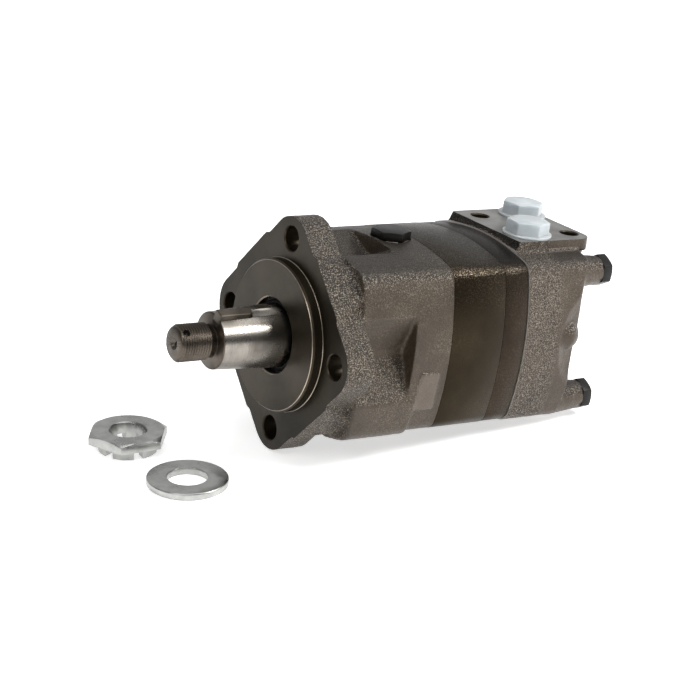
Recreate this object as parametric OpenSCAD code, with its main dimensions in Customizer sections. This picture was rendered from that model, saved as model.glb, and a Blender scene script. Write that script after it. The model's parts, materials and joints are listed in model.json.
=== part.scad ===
// Orbital hydraulic motor of about 200 cubic centimetres a turn, with a tapered output shaft.
// The shaft axis lies on X and its free end points to +X. The oil ports face +Z.
// X = 0 is the mounting face of the flange, and the sections follow each other towards -X.

/* [Flange and spigot] */
// Diameter of the circle through the four mounting holes
flange_pcd = 106.4; // [104:0.2:109]
// Diameter of each mounting hole
flange_hole_d = 13.5; // [11:0.5:14.5]
// Thickness of the flange
flange_t = 17.5; // [15:0.5:19]
// Distance from the shaft axis to the tips of the flange
flange_reach = 65.2; // [63:0.2:68]
// Radius of the flange's rounded tips
flange_corner_r = 17.6; // [14:0.2:19]
// Distance from the shaft axis to the shoulders beside the mounting face
shoulder_front = 53; // [51.4:0.2:54]
// Distance from the shaft axis to the shoulders at the rear of the flange
shoulder_rear = 56.5; // [54:0.5:58]
// Half the width of the shoulders at the mounting face
shoulder_half = 50.3; // [48:0.1:51]
// Half the width of the shoulders at the rear of the flange
shoulder_half_rear = 45.9; // [44:0.1:48]
// Diameter of the locating spigot
pilot_d = 82.5; // [76:0.1:86]
// Height of the spigot above the mounting face
pilot_h = 6; // [5:0.5:8]
// Chamfer on the rim of the spigot
pilot_chamfer = 1.2; // [0.4:0.2:2]

/* [Square body sections] */
// Distance from the shaft axis to the middle of each side
body_half = 51.5; // [50.9:0.1:53]
// Radius of the gentle crown on each side
body_side_r = 150; // [120:5:260]
// Radius of the rounded corners
body_corner_r = 9; // [8:0.5:14]
// Distance of each tie bolt's axis from the middle of the two sides beside it
bolt_inset = 14.3; // [14:0.1:14.6]

/* [Front housing] */
// Length of the front housing behind the mounting face
housing_len = 75.4; // [74:0.2:80]
// Length of the spanner groove behind each mounting hole
groove_len = 34.2; // [26:0.2:34.4]
// Depth of the spanner grooves below the middle of the body's sides
groove_depth = 10.9; // [8.5:0.1:11.7]
// Half the width of a spanner groove where it meets the body's side
groove_half = 27; // [23:0.5:28.5]
// Radius at the bottom of the spanner grooves
groove_r = 8; // [3:0.5:14]
// Diameter of the opening round the shaft
mouth_d = 41; // [38.5:0.5:43]

/* [Gear set] */
// Width of the gear set, which sets the displacement
gear_w = 34.8; // [27.8:0.2:54]
// Radius of the circle that the roller centres lie on
roller_pitch_r = 34; // [33.6:0.1:34.4]
// Radius of each roller
roller_r = 7.5; // [7.1:0.1:7.8]
// Distance from the shaft axis to the rotor's own axis
eccentricity = 2.55; // [2.4:0.05:2.6]
// Radius of the stator's bore between its rollers
stator_bore_r = 32.2; // [32:0.1:32.6]

/* [Channel plate] */
// Thickness of the channel plate
channel_t = 16.2; // [12:0.2:20]
// Radius of the centre hole that the drives pass through
core_hole_r = 14; // [13:0.5:15]
// Radius of the circle that the oil channels open on
channel_pitch_r = 24; // [23:0.5:24.5]

/* [End cover] */
// Length of the end cover to the middle of its rear wall
cover_len = 40; // [38:0.5:46]
// How far the end cover's sides stand out past the body's
cover_proud = 0.5; // [0:0.1:1.5]
// Radius of the end cover's corners
cover_corner_r = 7; // [6:0.5:12]
// How far the rear wall leans forward for each millimetre that it goes down
cover_lean = 0.09; // [0:0.01:0.12]
// Rounding where the end cover's underside meets its rear wall
cover_round = 8; // [3:0.5:10]
// Rounding where the end cover's near and far sides meet its rear wall
cover_side_round = 16; // [6:0.5:18]
// Radius of the bolt bosses at their ends
boss_r = 8.4; // [8:0.1:9.5]
// Radius of the bolt bosses where they leave the end cover
boss_root_r = 10.2; // [9:0.1:10.4]
// Distance behind the channel plate where the bolt bosses end
boss_len = 54.6; // [52:0.2:60]
// Radius of the valve chamber
chamber_r = 34; // [33.6:0.2:36]
// Depth of the valve chamber
chamber_depth = 23; // [22.6:0.1:24]
// Radius of the round lug on the near rear edge of the end cover
lug_r = 8; // [5:0.5:9]

/* [Port plate] */
// Height of the port face above the middle of the end cover's top
port_face_rise = 2.3; // [1.1:0.1:3.5]
// Distance from the channel plate's rear face to the middle between the two ports
port_set = 30; // [28.8:0.2:30.4]
// Distance from the channel plate's rear face to the port face's front edge
port_plate_set = 2.3; // [1:0.1:4]
// Length of the port face along the shaft
port_plate_len = 52.6; // [50:0.2:54]
// Half the width of the port face
port_plate_half = 32.2; // [31:0.1:34]
// Thickness of the port plate's overhanging rim
port_plate_t = 7.5; // [6:0.5:9]
// Radius of the port plate's rear corners
port_plate_r = 8; // [3:0.5:10]
// Distance between the two ports along the shaft
port_gap_x = 24.4; // [22.2:0.2:24.4]
// Distance between the two ports across the shaft
port_gap_y = 35.6; // [34:0.2:36]
// Radius of the port threads
port_thread_r = 10.48; // [9:0.02:10.6]
// Depth of the port threads
port_depth = 15; // [14:0.5:16]
// Distance between the two manifold screw holes along the shaft
manifold_gap_x = 32.4; // [32:0.2:34]
// Distance between the two manifold screw holes across the shaft
manifold_gap_y = 41; // [40:0.2:43]
// Radius of the manifold screw holes
manifold_hole_r = 5; // [4:0.1:5]
// Depth of the manifold screw holes
manifold_depth = 12; // [8:0.5:14]

/* [Plugs] */
// Radius of the thin collar at the foot of each port plug
port_plug_collar_r = 13.8; // [12:0.1:13.8]
// Thickness of that collar
port_plug_collar_t = 1.2; // [0.8:0.1:2]
// Width across flats of the port plug's head
port_plug_af = 21; // [19:0.5:23]
// Height of the port plug's head
port_plug_head_h = 7; // [4:0.1:12]
// Length of the port plug's shank inside the port
port_plug_shank = 11; // [6:0.5:13]
// Distance of the drain plug behind the mounting face
drain_x = 63.9; // [62.5:0.1:64]
// Width across flats of the drain plug's head
drain_plug_af = 19; // [17:0.5:19]
// Height of the drain plug's head
drain_plug_h = 4.8; // [4:0.1:7]
// Radius of the drain plug's thread
drain_thread_r = 6.5; // [5:0.1:6.6]

/* [Output shaft] */
// Distance from the mounting face to the tip of the shaft
shaft_reach = 64.8; // [62:0.2:80]
// Length of the threaded end
thread_len = 21.2; // [19:0.2:26]
// Radius of the thread
thread_r = 10; // [9:0.1:10.4]
// Radius of the shaft where the taper ends at the seal
seal_land_r = 17.5; // [17.1:0.1:17.8]
// Length of the taper
taper_len = 44; // [38:0.5:46]
// Taper of the shaft, as the diameter lost for each unit of length
taper = 0.1; // [0.08:0.01:0.125]
// Width of the shaft key
key_w = 6; // [5:0.5:8]
// Length of the shaft key
key_len = 20; // [14:0.5:26]
// Distance from the shaft axis to the top of the key
key_top = 18.5; // [18:0.1:19]
// Distance from the shaft axis to the bottom of the key
key_bottom = 12.2; // [11.5:0.1:13]
// Angle of the key from straight up, towards the near side
key_angle = 20; // [0:5:45]
// Radius of the split pin hole through the thread
pin_hole_r = 2; // [1:0.1:2.4]

/* [Bearings and seals] */
// Inner diameter of the tapered roller bearings
bearing_d = 40; // [39.4:0.1:40.6]
// Outer diameter of the tapered roller bearings
bearing_od = 68; // [67.4:0.1:68.6]
// Width of each tapered roller bearing
bearing_w = 19; // [18.6:0.1:19.4]
// Distance between the two bearings
bearing_gap = 4; // [3:0.1:4.4]
// Angle of the bearing rollers to the shaft axis
bearing_angle = 12; // [10:0.5:13]
// Number of rollers in each bearing
bearing_rollers_n = 17; // [13:1:18]
// Outer radius of the shaft seal
seal_r = 25; // [24:0.1:26]
// Width of the shaft seal
seal_w = 7.8; // [6.5:0.1:7.9]
// Outer radius of the dust seal
dust_seal_r = 23.5; // [22.5:0.1:24]
// Width of the dust seal
dust_seal_w = 4.4; // [3.5:0.1:4.4]
// Height of the bearing nut above its thread
bearing_nut_wall = 6; // [4.5:0.5:7]
// Width of the bearing nut
bearing_nut_w = 6; // [5:0.1:6.4]
// Distance from the shaft's rear hub out to the bearing bore
hub_gap = 7; // [6:0.5:9]
// Thickness of the shaft's rear hub
hub_t = 6; // [5:0.1:6.6]
// Thickness of the hard plate that the gear set runs on
wear_plate_t = 6; // [5.4:0.1:6.2]
// Radius of the hard plate
wear_plate_r = 42; // [41.8:0.1:42.6]

/* [Splined drives] */
// Radius of the splined bores between their teeth
spline_bore_r = 13; // [12.9:0.02:13.1]
// Radius of the splined bores at the bottom of their slots
spline_root_r = 15.1; // [15:0.02:15.3]
// Width of each spline slot
spline_slot_w = 3.9; // [3.8:0.02:4.2]
// Radius of the drives between their teeth
drive_body_r = 12.6; // [11.8:0.02:12.62]
// Radius of the crowned drive teeth
drive_tip_r = 14.6; // [14:0.02:14.7]
// Width of each drive tooth
drive_tooth_w = 3; // [2.6:0.02:3.1]
// Length of each splined drive end
drive_end_len = 9; // [6:0.2:9]
// Radius of the drives' waist
drive_waist_r = 8; // [6:0.2:9]

/* [Rotary valve] */
// Radius of the disc valve
valve_r = 31; // [30:0.2:31.6]
// Thickness of the disc valve
valve_t = 14; // [13:0.1:14.4]
// Thickness of the balance plate
balance_t = 7.6; // [6:0.1:7.8]
// Outer radius of the balance plate's springs
spring_r = 3; // [2.4:0.1:3.2]
// Depth of the spring pockets in the end cover
spring_pocket = 6; // [5:0.5:8]

/* [Loose shaft nut and washer] */
// Width across flats of the castle nut
nut_af = 39; // [34:0.5:41]
// Height of the castle nut's hexagon
nut_hex_h = 5.5; // [5:0.1:9]
// Outer radius of the castle nut's crown
crown_r = 16.2; // [14:0.1:16.8]
// Height of the castle nut's crown
crown_h = 5.5; // [4:0.1:8]
// Width of each slot in the crown
crown_slot_w = 5; // [3:0.2:6]
// Outer radius of the washer
washer_r = 21.6; // [18.5:0.1:22.5]
// Radius of the washer's hole
washer_hole_r = 10.8; // [10.5:0.1:11.5]
// Thickness of the washer
washer_t = 4; // [3:0.1:5]
// Distance of the nut's axis in front of the flange's rear edge, along the floor
nut_ahead = 82; // [74:0.5:95]
// Distance of the nut's axis beyond the shaft, on the far side
nut_beyond = 38.5; // [35:0.5:50]
// Distance of the washer's axis in front of the flange's rear edge, along the floor
washer_ahead = 75.5; // [68:0.5:90]
// Distance of the washer's axis before the shaft, on the near side
washer_before = 16; // [14:0.5:24]

/* [Fits] */
// Radial clearance of a running fit
run = 0.05; // [0.02:0.01:0.08]
// Clearance between rotor and rollers, and between faces that slide
slip = 0.06; // [0.04:0.01:0.1]
// Radial clearance of the tie bolts in their holes
bolt_play = 0.25; // [0.15:0.05:0.35]

/* [Hidden] */
$fn = 64;
eps = 0.01;
roller_n = 7;
lobe_n = roller_n - 1;
spline_n = 12;
roller_step = 360 / roller_n;
bolt_pos = body_half - bolt_inset;
groove_floor = body_half - groove_depth;
cover_half = body_half + cover_proud;
port_face_z = cover_half + port_face_rise;
x_gear = -housing_len;
column_x = -flange_t + 0.1;
x_channel = x_gear - gear_w;
x_cover = x_channel - channel_t;
x_cover_end = x_cover - cover_len;
x_boss_end = x_cover - boss_len;
boss_root_x = x_cover_end + 6;
x_chamber_end = x_cover - chamber_depth;
tie_r = 5;
tie_head_af = 16;
tie_head_h = 6.4;
tie_grip = 30;
cavity_wall = 1.5;
x_dust = pilot_h - 4.5;
x_seal = x_dust - dust_seal_w - cavity_wall - 0.1;
x_nut = x_seal - seal_w - 1.2;
x_bearing = x_nut - bearing_nut_w;
x_bearing_end = x_bearing - 2 * bearing_w - bearing_gap;
x_wear = x_gear + wear_plate_t;
cup_set = 2;
cone_set = 1.5;
bearing_r = bearing_d / 2;
bearing_cup_r = bearing_od / 2;
bearing_nut_r = bearing_r + bearing_nut_wall;
hub_r = bearing_cup_r - hub_gap;
needle_r = (bearing_cup_r - bearing_r) / 4;
needle_len = 12.4;
needle_mid = [bearing_w / 2 + 0.3, (bearing_cup_r + bearing_r) / 2 + 0.2];
needle_taper = atan(needle_r * sin(bearing_angle) / needle_mid[1]);
needle_dir = [-cos(bearing_angle), sin(bearing_angle)];
needle_out = [sin(bearing_angle), cos(bearing_angle)];
front_end_x = x_bearing_end + 6.5;
cardan_rear_x = x_gear - 13.8;
valve_front_x = x_channel + 9;
valve_rear_x = x_cover - valve_t / 2 + 0.5;
rotor_z = -eccentricity;
o_ring_r = 1;
o_ring_seat_r = wear_plate_r + 2.6;
cover_ring_seat_r = chamber_r + 5;
port_mid_x = x_cover - port_set;
balance_pitch_r = chamber_r - 8;
drain_seat_z = body_half - 1.5;
drain_seat_r = drain_plug_af / sqrt(3) + 0.25;
drain_ring_t = 1;
drain_shank = drain_seat_z + drain_ring_t - wear_plate_r - 0.4;
taper_end = shaft_reach - thread_len - taper_len;
shoulder_x = shaft_reach - thread_len;
shoulder_r = seal_land_r - taper * taper_len / 2;
foot_x = x_cover_end + cover_lean * cover_half;
rest_run = -flange_t - foot_x - cover_round;
rest_rise = flange_reach - cover_half + cover_round;
floor_tilt = atan(rest_rise / rest_run) - asin(cover_round / norm([rest_run, rest_rise]));

// Puts a flat outline, drawn in Y and Z, between two stations on the shaft axis.
module along_x(x0, x1) {
    translate([x0, 0, 0]) rotate([90, 0, 90]) linear_extrude(x1 - x0) children();
}

// Turns a list of [station, radius] points about the shaft axis.
module turned(points) {
    rotate([0, 90, 0]) rotate_extrude() polygon([for (p = points) [p[1], p[0]]]);
}

module rod_x(x0, x1, r) {
    translate([x0, 0, 0]) rotate([0, 90, 0]) cylinder(h = x1 - x0, r = r);
}

module ring_x(x0, x1, r_out, r_in) {
    difference() {
        rod_x(x0, x1, r_out);
        rod_x(x0 - 1, x1 + 1, r_in);
    }
}

module hexagon(across_flats) {
    circle(r = across_flats / sqrt(3), $fn = 6);
}

// A hexagonal head with its corners turned off at the top.
module hex_head(across_flats, h, fillet) {
    r = across_flats / sqrt(3);
    intersection() {
        linear_extrude(h) hexagon(across_flats);
        rotate_extrude() polygon([[0, 0], [r + 1, 0], [r + 1, h - (r + 1 - across_flats / 2) * fillet],
            [across_flats / 2, h], [0, h]]);
    }
}

module at_tie_bolts(x) {
    for (y = [-bolt_pos, bolt_pos], z = [-bolt_pos, bolt_pos]) translate([x, y, z]) children();
}

module tie_bolt_holes(x0, x1) {
    at_tie_bolts(0) rod_x(x0, x1, tie_r + bolt_play);
}

// A square with crowned sides that run smoothly into round corners.
module square_outline(half, side_r, corner_r) {
    side_in = side_r - half;
    corner_c = (sqrt(2 * pow(side_r - corner_r, 2) - pow(side_in, 2)) - side_in) / 2;
    touch_long = side_r * (corner_c + side_in) / (side_r - corner_r) - side_in;
    touch_short = side_r * corner_c / (side_r - corner_r);
    intersection() {
        translate([-side_in, 0]) circle(r = side_r);
        translate([side_in, 0]) circle(r = side_r);
        translate([0, -side_in]) circle(r = side_r);
        translate([0, side_in]) circle(r = side_r);
        rotate(45) square((touch_long + touch_short) * sqrt(2), center = true);
    }
    for (a = [0:90:270]) rotate(a) translate([corner_c, corner_c]) circle(r = corner_r);
}

// A diamond with a round tip outside each mounting hole.
module flange_outline() {
    tip = flange_reach - flange_corner_r;
    for (a = [0:90:270]) rotate(a) translate([tip, 0]) circle(r = flange_corner_r);
    polygon([for (a = [0:90:270], s = [-45, 45])
        tip * [cos(a), sin(a)] + flange_corner_r * [cos(a + s), sin(a + s)]]);
}

// A slab across the shaft axis whose half thickness changes along the flange.
module flared_slab(front, rear) {
    linear_extrude(3 * body_half, center = true)
        polygon([[-flange_t, -rear], [0, -front], [0, front], [-flange_t, rear]]);
}

// The shoulders that lead from the flange's straight sides to the corner columns.
module shoulders() {
    intersection() {
        rotate([45, 0, 0]) flared_slab(shoulder_front, shoulder_rear);
        rotate([-45, 0, 0]) flared_slab(shoulder_front, shoulder_rear);
        flared_slab(shoulder_half, shoulder_half_rear);
        rotate([90, 0, 0]) flared_slab(shoulder_half, shoulder_half_rear);
    }
}

// The square part of the housing, with a spanner groove behind each mounting hole.
module corner_columns() {
    difference() {
        along_x(x_gear, column_x) square_outline(body_half, body_side_r, body_corner_r);
        for (a = [0:90:270]) rotate([a, 0, 0]) along_x(-flange_t - groove_len, column_x + 1) groove_outline();
    }
}

// The cross-section of a spanner groove: two sloping sides that meet in a round bottom.
module groove_outline() {
    slope = 2 * atan((body_half - groove_floor) / (groove_half
        + sqrt(pow(groove_half, 2) - (body_half - groove_floor) * (2 * groove_r - body_half + groove_floor))));
    touch = [groove_r * sin(slope), groove_floor + groove_r * (1 - cos(slope))];
    rise = 2 * (body_half - groove_floor);
    reach = touch[0] + (rise - touch[1] + groove_floor) / tan(slope);
    translate([0, groove_floor + groove_r]) circle(r = groove_r);
    polygon([touch, [reach, groove_floor + rise], [-reach, groove_floor + rise], [-touch[0], touch[1]]]);
}

module o_ring(x, seat_r) {
    rotate([0, 90, 0]) rotate_extrude() translate([seat_r, x]) intersection() {
        circle(r = o_ring_r);
        square([3 * o_ring_r, 1.6 * o_ring_r], center = true);
    }
}

// The groove for a ring whose open side is at station x. Side is 1 where it opens towards -X.
module o_ring_groove(x, side, seat_r) {
    depth = 1.6 * o_ring_r + 0.06;
    ring_x(min(x - side * 1, x + side * depth), max(x - side * 1, x + side * depth),
        seat_r + 1.2 * o_ring_r, seat_r - 1.2 * o_ring_r);
}

module front_housing() {
    color("#5a5048") difference() {
        union() {
            turned([[-1, 0], [-1, pilot_d / 2], [pilot_h - pilot_chamfer, pilot_d / 2],
                [pilot_h, pilot_d / 2 - pilot_chamfer], [pilot_h, 0]]);
            along_x(-flange_t, 0) flange_outline();
            shoulders();
            corner_columns();
        }
        for (a = [0:90:270]) rotate([a, 0, 0]) translate([0, 0, flange_pcd / 2])
            rod_x(-flange_t - 1, 1, flange_hole_d / 2);
        at_tie_bolts(0) rod_x(x_gear - 1, x_gear + tie_grip, tie_r + run);
        rod_x(x_dust - 1, pilot_h + 1, mouth_d / 2);
        rod_x(x_dust - dust_seal_w - 0.1, x_dust, dust_seal_r + run);
        rod_x(x_seal - 1, x_dust, seal_land_r + 1.8);
        rod_x(x_seal - seal_w - 1, x_seal, seal_r + run);
        rod_x(x_bearing - cup_set - 1, x_seal - seal_w, bearing_nut_r + 2.5);
        rod_x(x_gear - 1, x_bearing - cup_set, bearing_cup_r + run);
        rod_x(x_gear - 1, x_wear + slip, wear_plate_r + run);
        o_ring_groove(x_gear, 1, o_ring_seat_r);
        translate([-drain_x, 0, 0]) {
            cylinder(h = body_half + 2, r = drain_thread_r + run);
            translate([0, 0, drain_seat_z]) cylinder(h = body_half, r = drain_seat_r);
        }
    }
}

module dust_seal() {
    lip = seal_land_r + run;
    x0 = x_dust - dust_seal_w;
    color("#1d1b1a") turned([[x0, lip + 1.4], [x0, dust_seal_r], [x_dust - 0.1, dust_seal_r],
        [x_dust - 0.1, lip + 2], [x_dust + 1.6, lip], [x_dust + 0.8, lip], [x_dust - 1.2, lip + 1.4]]);
}

module shaft_seal() {
    lip = seal_land_r + run;
    x0 = x_seal - seal_w;
    color("#2a2622") turned([[x0, seal_r], [x_seal - 0.1, seal_r], [x_seal - 0.1, lip + 1.6],
        [x_seal - 1.4, lip + 1.6], [x_seal - 4, lip], [x_seal - 4.8, lip], [x_seal - 5.6, lip + 1.6],
        [x_seal - 5.6, lip + 3.2], [x_seal - 1.9, lip + 3.2], [x_seal - 1.9, seal_r - 1.2],
        [x0, seal_r - 1.2]]);
}

// The inner and outer races are straight lines beside the bearing rollers' slanted axis.
function needle_side(side) =
    let (a = needle_mid + needle_dir * 6, b = needle_mid - needle_dir * 6,
        ra = needle_r + 6 * tan(needle_taper) + run, rb = needle_r - 6 * tan(needle_taper) + run)
    [a + side * ra * needle_out, b + side * rb * needle_out];
function race_r(side, u) =
    let (p = needle_side(side)) p[0][1] + (u - p[0][0]) * (p[1][1] - p[0][1]) / (p[1][0] - p[0][0]);

// A bearing is drawn with its wide end at station 0, looking towards +X.
module bearing_cup() {
    turned([[cup_set, bearing_cup_r], [bearing_w, bearing_cup_r], [bearing_w, race_r(1, bearing_w)],
        [cup_set, race_r(1, cup_set)]]);
}

module bearing_cone() {
    wide = 2.7;
    narrow = bearing_w - 2.6;
    end = bearing_w - cone_set;
    turned([[0, bearing_r + run], [0, needle_mid[1] - 0.9], [wide, needle_mid[1] - 0.9],
        [wide, race_r(-1, wide)], [narrow, race_r(-1, narrow)], [narrow, needle_mid[1] - needle_r + 0.3],
        [end, needle_mid[1] - needle_r + 0.3], [end, bearing_r + run]]);
}

module bearing_roller_set(play) {
    half = needle_len / 2 + play;
    for (i = [0:bearing_rollers_n - 1]) rotate([i * 360 / bearing_rollers_n, 0, 0])
        translate([needle_mid[0], 0, needle_mid[1]]) rotate([0, bearing_angle - 90, 0])
            cylinder(h = 2 * half, r1 = needle_r - half * tan(needle_taper) + play,
                r2 = needle_r + half * tan(needle_taper) + play, center = true);
}

module bearing_cage() {
    a = needle_mid + needle_dir * 7.6;
    b = needle_mid - needle_dir * 7.8;
    difference() {
        turned([a + 0.9 * needle_out, b + 0.9 * needle_out, b + 1.9 * needle_out, a + 1.9 * needle_out]);
        bearing_roller_set(0.2);
    }
}

module at_front_bearing() {
    translate([x_bearing, 0, 0]) mirror([1, 0, 0]) children();
}

module at_rear_bearing() {
    translate([x_bearing_end, 0, 0]) children();
}

module cup_spacer() {
    x0 = x_bearing - bearing_w;
    color("#8d8a86") ring_x(x0 - bearing_gap, x0, bearing_cup_r, bearing_cup_r - 4.5);
}

module cup_retainer() {
    color("#8d8a86") ring_x(x_wear + slip, x_bearing_end + cup_set, bearing_cup_r, hub_r + 2.5);
}

module wear_plate() {
    color("#6f6c6a") ring_x(x_gear, x_wear, wear_plate_r, core_hole_r);
}

module stator_ring() {
    color("#4a423c") difference() {
        along_x(x_channel, x_gear) square_outline(body_half, body_side_r, body_corner_r);
        rod_x(x_channel - 1, x_gear + 1, stator_bore_r);
        for (i = [0:lobe_n]) rotate([i * roller_step, 0, 0]) translate([0, 0, roller_pitch_r])
            rod_x(x_channel - 1, x_gear + 1, roller_r + run);
        tie_bolt_holes(x_channel - 1, x_gear + 1);
    }
}

module gear_roller(i) {
    color("#b9b6b2") rotate([(i - 1) * roller_step, 0, 0]) translate([0, 0, roller_pitch_r])
        turned([[x_channel + slip, 0], [x_channel + slip, roller_r - 0.6],
            [x_channel + slip + 0.6, roller_r], [x_gear - slip - 0.6, roller_r],
            [x_gear - slip, roller_r - 0.6], [x_gear - slip, 0]]);
}

// The rotor's flank keeps a roller's radius inside the path that the roller centres trace over it.
function rotor_path(t) =
    roller_pitch_r * [cos(t), sin(t)] + eccentricity * [cos(roller_n * t), sin(roller_n * t)];
function rotor_point(t) =
    let (d = roller_pitch_r * [-sin(t), cos(t)]
            + roller_n * eccentricity * [-sin(roller_n * t), cos(roller_n * t)])
    rotor_path(t) + (roller_r + slip) * [-d[1], d[0]] / norm(d);

module spline_bore_outline() {
    circle(r = spline_bore_r);
    intersection() {
        circle(r = spline_root_r);
        for (a = [0:360 / spline_n:179]) rotate(a) square([2 * spline_root_r + 2, spline_slot_w], center = true);
    }
}

module rotor() {
    steps = 32 * lobe_n;
    color("#a8a5a1") translate([0, 0, rotor_z]) along_x(x_channel + slip, x_gear - slip) difference() {
        rotate(90) polygon([for (i = [0:steps - 1]) rotor_point(i * 360 / steps)]);
        spline_bore_outline();
    }
}

// A splined end with crowned teeth, so that the drive can tilt in its bore.
module drive_end() {
    half = drive_end_len / 2;
    intersection() {
        along_x(-half, half) union() {
            circle(r = drive_body_r);
            for (a = [0:360 / spline_n:179]) rotate(a)
                square([2 * drive_tip_r + 2, drive_tooth_w], center = true);
        }
        sphere(r = drive_tip_r);
    }
}

// A drive from its front end at [x0, z0] to its rear end at [x1, z1].
module drive(x0, z0, x1, z1) {
    run_len = norm([x1 - x0, z1 - z0]);
    translate([x0, 0, z0]) rotate([0, atan((z1 - z0) / (x0 - x1)), 0]) {
        drive_end();
        translate([-run_len, 0, 0]) drive_end();
        rod_x(-run_len, 0, drive_waist_r);
    }
}

// The disc is thinner at its rim, where the tilted drive ends come closest.
module distance_disc() {
    half = (cardan_rear_x - valve_front_x - drive_end_len) / 2 - 0.3;
    rim = half - drive_body_r * tan(4.6) + 0.1;
    color("#8f8c88") translate([(cardan_rear_x + valve_front_x) / 2, 0, rotor_z])
        turned([[-half, 0], [-half, 2], [-rim, drive_body_r], [rim, drive_body_r], [half, 2], [half, 0]]);
}

module channel_plate() {
    color("#453d37") difference() {
        along_x(x_cover, x_channel) square_outline(body_half - 0.2, body_side_r, body_corner_r);
        rod_x(x_cover - 1, x_channel + 1, core_hole_r);
        for (i = [0:lobe_n]) rotate([(i + 0.5) * roller_step, 0, 0]) {
            translate([0, 0, channel_pitch_r]) rod_x(x_cover - 1, x_channel + 1, 3);
            translate([0, 0, channel_pitch_r + 4.5]) rod_x(x_cover + 6, x_channel + 1, 3);
        }
        tie_bolt_holes(x_cover - 1, x_channel + 1);
        o_ring_groove(x_channel, -1, o_ring_seat_r);
    }
}

// The end cover's outline from the side, with a rear wall that leans forward at the foot.
module cover_side() {
    top = cover_half + 4;
    r = cover_round;
    rear_x = x_cover_end - cover_lean * top;
    intersection() {
        polygon([[x_cover, -cover_half - 4], [x_cover, top], [rear_x, top],
            [foot_x + cover_lean * 4, -cover_half - 4]]);
        union() {
            translate([foot_x + r, -cover_half]) square([-foot_x + x_cover, cover_half + top]);
            translate([rear_x, r - cover_half]) square([x_cover - rear_x, cover_half + top]);
            translate([foot_x + r, r - cover_half]) circle(r = r);
        }
    }
}

// The end cover's outline from above, with both rear corners rounded.
module cover_plan() {
    r = cover_side_round;
    rear_x = x_cover_end - cover_lean * cover_half;
    translate([rear_x + r, -cover_half]) square([x_cover - rear_x - r, 2 * cover_half]);
    translate([rear_x, r - cover_half]) square([r + 1, 2 * (cover_half - r)]);
    for (s = [-1, 1]) translate([rear_x + r, s * (cover_half - r)]) circle(r = r);
}

module port_plate_plan() {
    front = x_cover - port_plate_set;
    rear = front - port_plate_len;
    r = port_plate_r;
    translate([rear + r, -port_plate_half]) square([port_plate_len - r, 2 * port_plate_half]);
    translate([rear, r - port_plate_half]) square([r + 1, 2 * (port_plate_half - r)]);
    for (s = [-1, 1]) translate([rear + r, s * (port_plate_half - r)]) circle(r = r);
}

module end_cover() {
    front = x_cover - port_plate_set;
    rear = front - port_plate_len;
    rim_z = port_face_z - port_plate_t;
    color("#7b716a") difference() {
        union() {
            intersection() {
                along_x(x_cover_end - 12, x_cover) square_outline(cover_half, body_side_r, cover_corner_r);
                rotate([90, 0, 0]) linear_extrude(3 * cover_half, center = true) cover_side();
                translate([0, 0, -cover_half - 5]) linear_extrude(3 * cover_half) cover_plan();
            }
            at_tie_bolts(x_boss_end) rotate([0, 90, 0]) {
                cylinder(h = boss_root_x - x_boss_end, r1 = boss_r, r2 = boss_root_r);
                cylinder(h = x_cover - 14 - x_boss_end, r = boss_r);
            }
            translate([0, 0, rim_z]) linear_extrude(port_plate_t) port_plate_plan();
            rotate([90, 0, 0]) linear_extrude(2 * port_plate_half, center = true)
                polygon([[x_cover, rim_z - 6], [x_cover, port_face_z - 4.6], [front, port_face_z],
                    [front - 8, port_face_z], [front - 8, rim_z - 6]]);
            translate([0, 0, rim_z - 8]) linear_extrude(9) intersection() {
                port_plate_plan();
                translate([rear - 1, 3 - port_plate_half]) square([port_plate_len, 2 * port_plate_half - 6]);
            }
            translate([port_mid_x - port_gap_x / 2, -port_gap_y / 2, 14])
                cylinder(h = rim_z - 13, r = port_thread_r + 2);
            translate([x_cover_end + lug_r + 0.4, cover_half - lug_r - 0.6, 0]) {
                rod_x(0, 14, lug_r);
                sphere(r = lug_r);
            }
        }
        rod_x(x_chamber_end, x_cover + 1, chamber_r);
        o_ring_groove(x_cover, -1, cover_ring_seat_r);
        tie_bolt_holes(x_boss_end - 1, x_cover + 1);
        for (s = [-1, 1]) translate([port_mid_x + s * port_gap_x / 2, s * port_gap_y / 2,
            port_face_z - port_depth]) cylinder(h = port_depth + 1, r = port_thread_r);
        translate([port_mid_x + port_gap_x / 2, port_gap_y / 2, 22]) cylinder(h = 20, r = 5.5);
        translate([port_mid_x - port_gap_x / 2, -port_gap_y / 2, 20]) {
            cylinder(h = 20, r = 5.5);
            rod_x(0, x_chamber_end + 1 - port_mid_x + port_gap_x / 2, 5.5);
        }
        for (s = [-1, 1]) translate([port_mid_x + s * manifold_gap_x / 2, -s * manifold_gap_y / 2,
            port_face_z - manifold_depth]) cylinder(h = manifold_depth + 1, r = manifold_hole_r);
        at_springs() rod_x(x_chamber_end - spring_pocket, x_chamber_end + 1, spring_r + 0.5);
        at_balance_pins() rod_x(x_chamber_end - 6, x_chamber_end + 1, 2 + run);
    }
}

module at_springs() {
    for (a = [60, 180, 300]) rotate([a, 0, 0]) translate([0, 0, balance_pitch_r]) children();
}

module at_balance_pins() {
    for (a = [0, 120, 240]) rotate([a, 0, 0]) translate([0, 0, balance_pitch_r]) children();
}

module tie_bolts() {
    color("#1e1d1c") at_tie_bolts(0) {
        rod_x(x_boss_end - 1, x_gear + tie_grip - 2, tie_r);
        translate([x_boss_end, 0, 0]) rotate([0, -90, 0]) hex_head(tie_head_af, tie_head_h, 0.5);
    }
}

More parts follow.
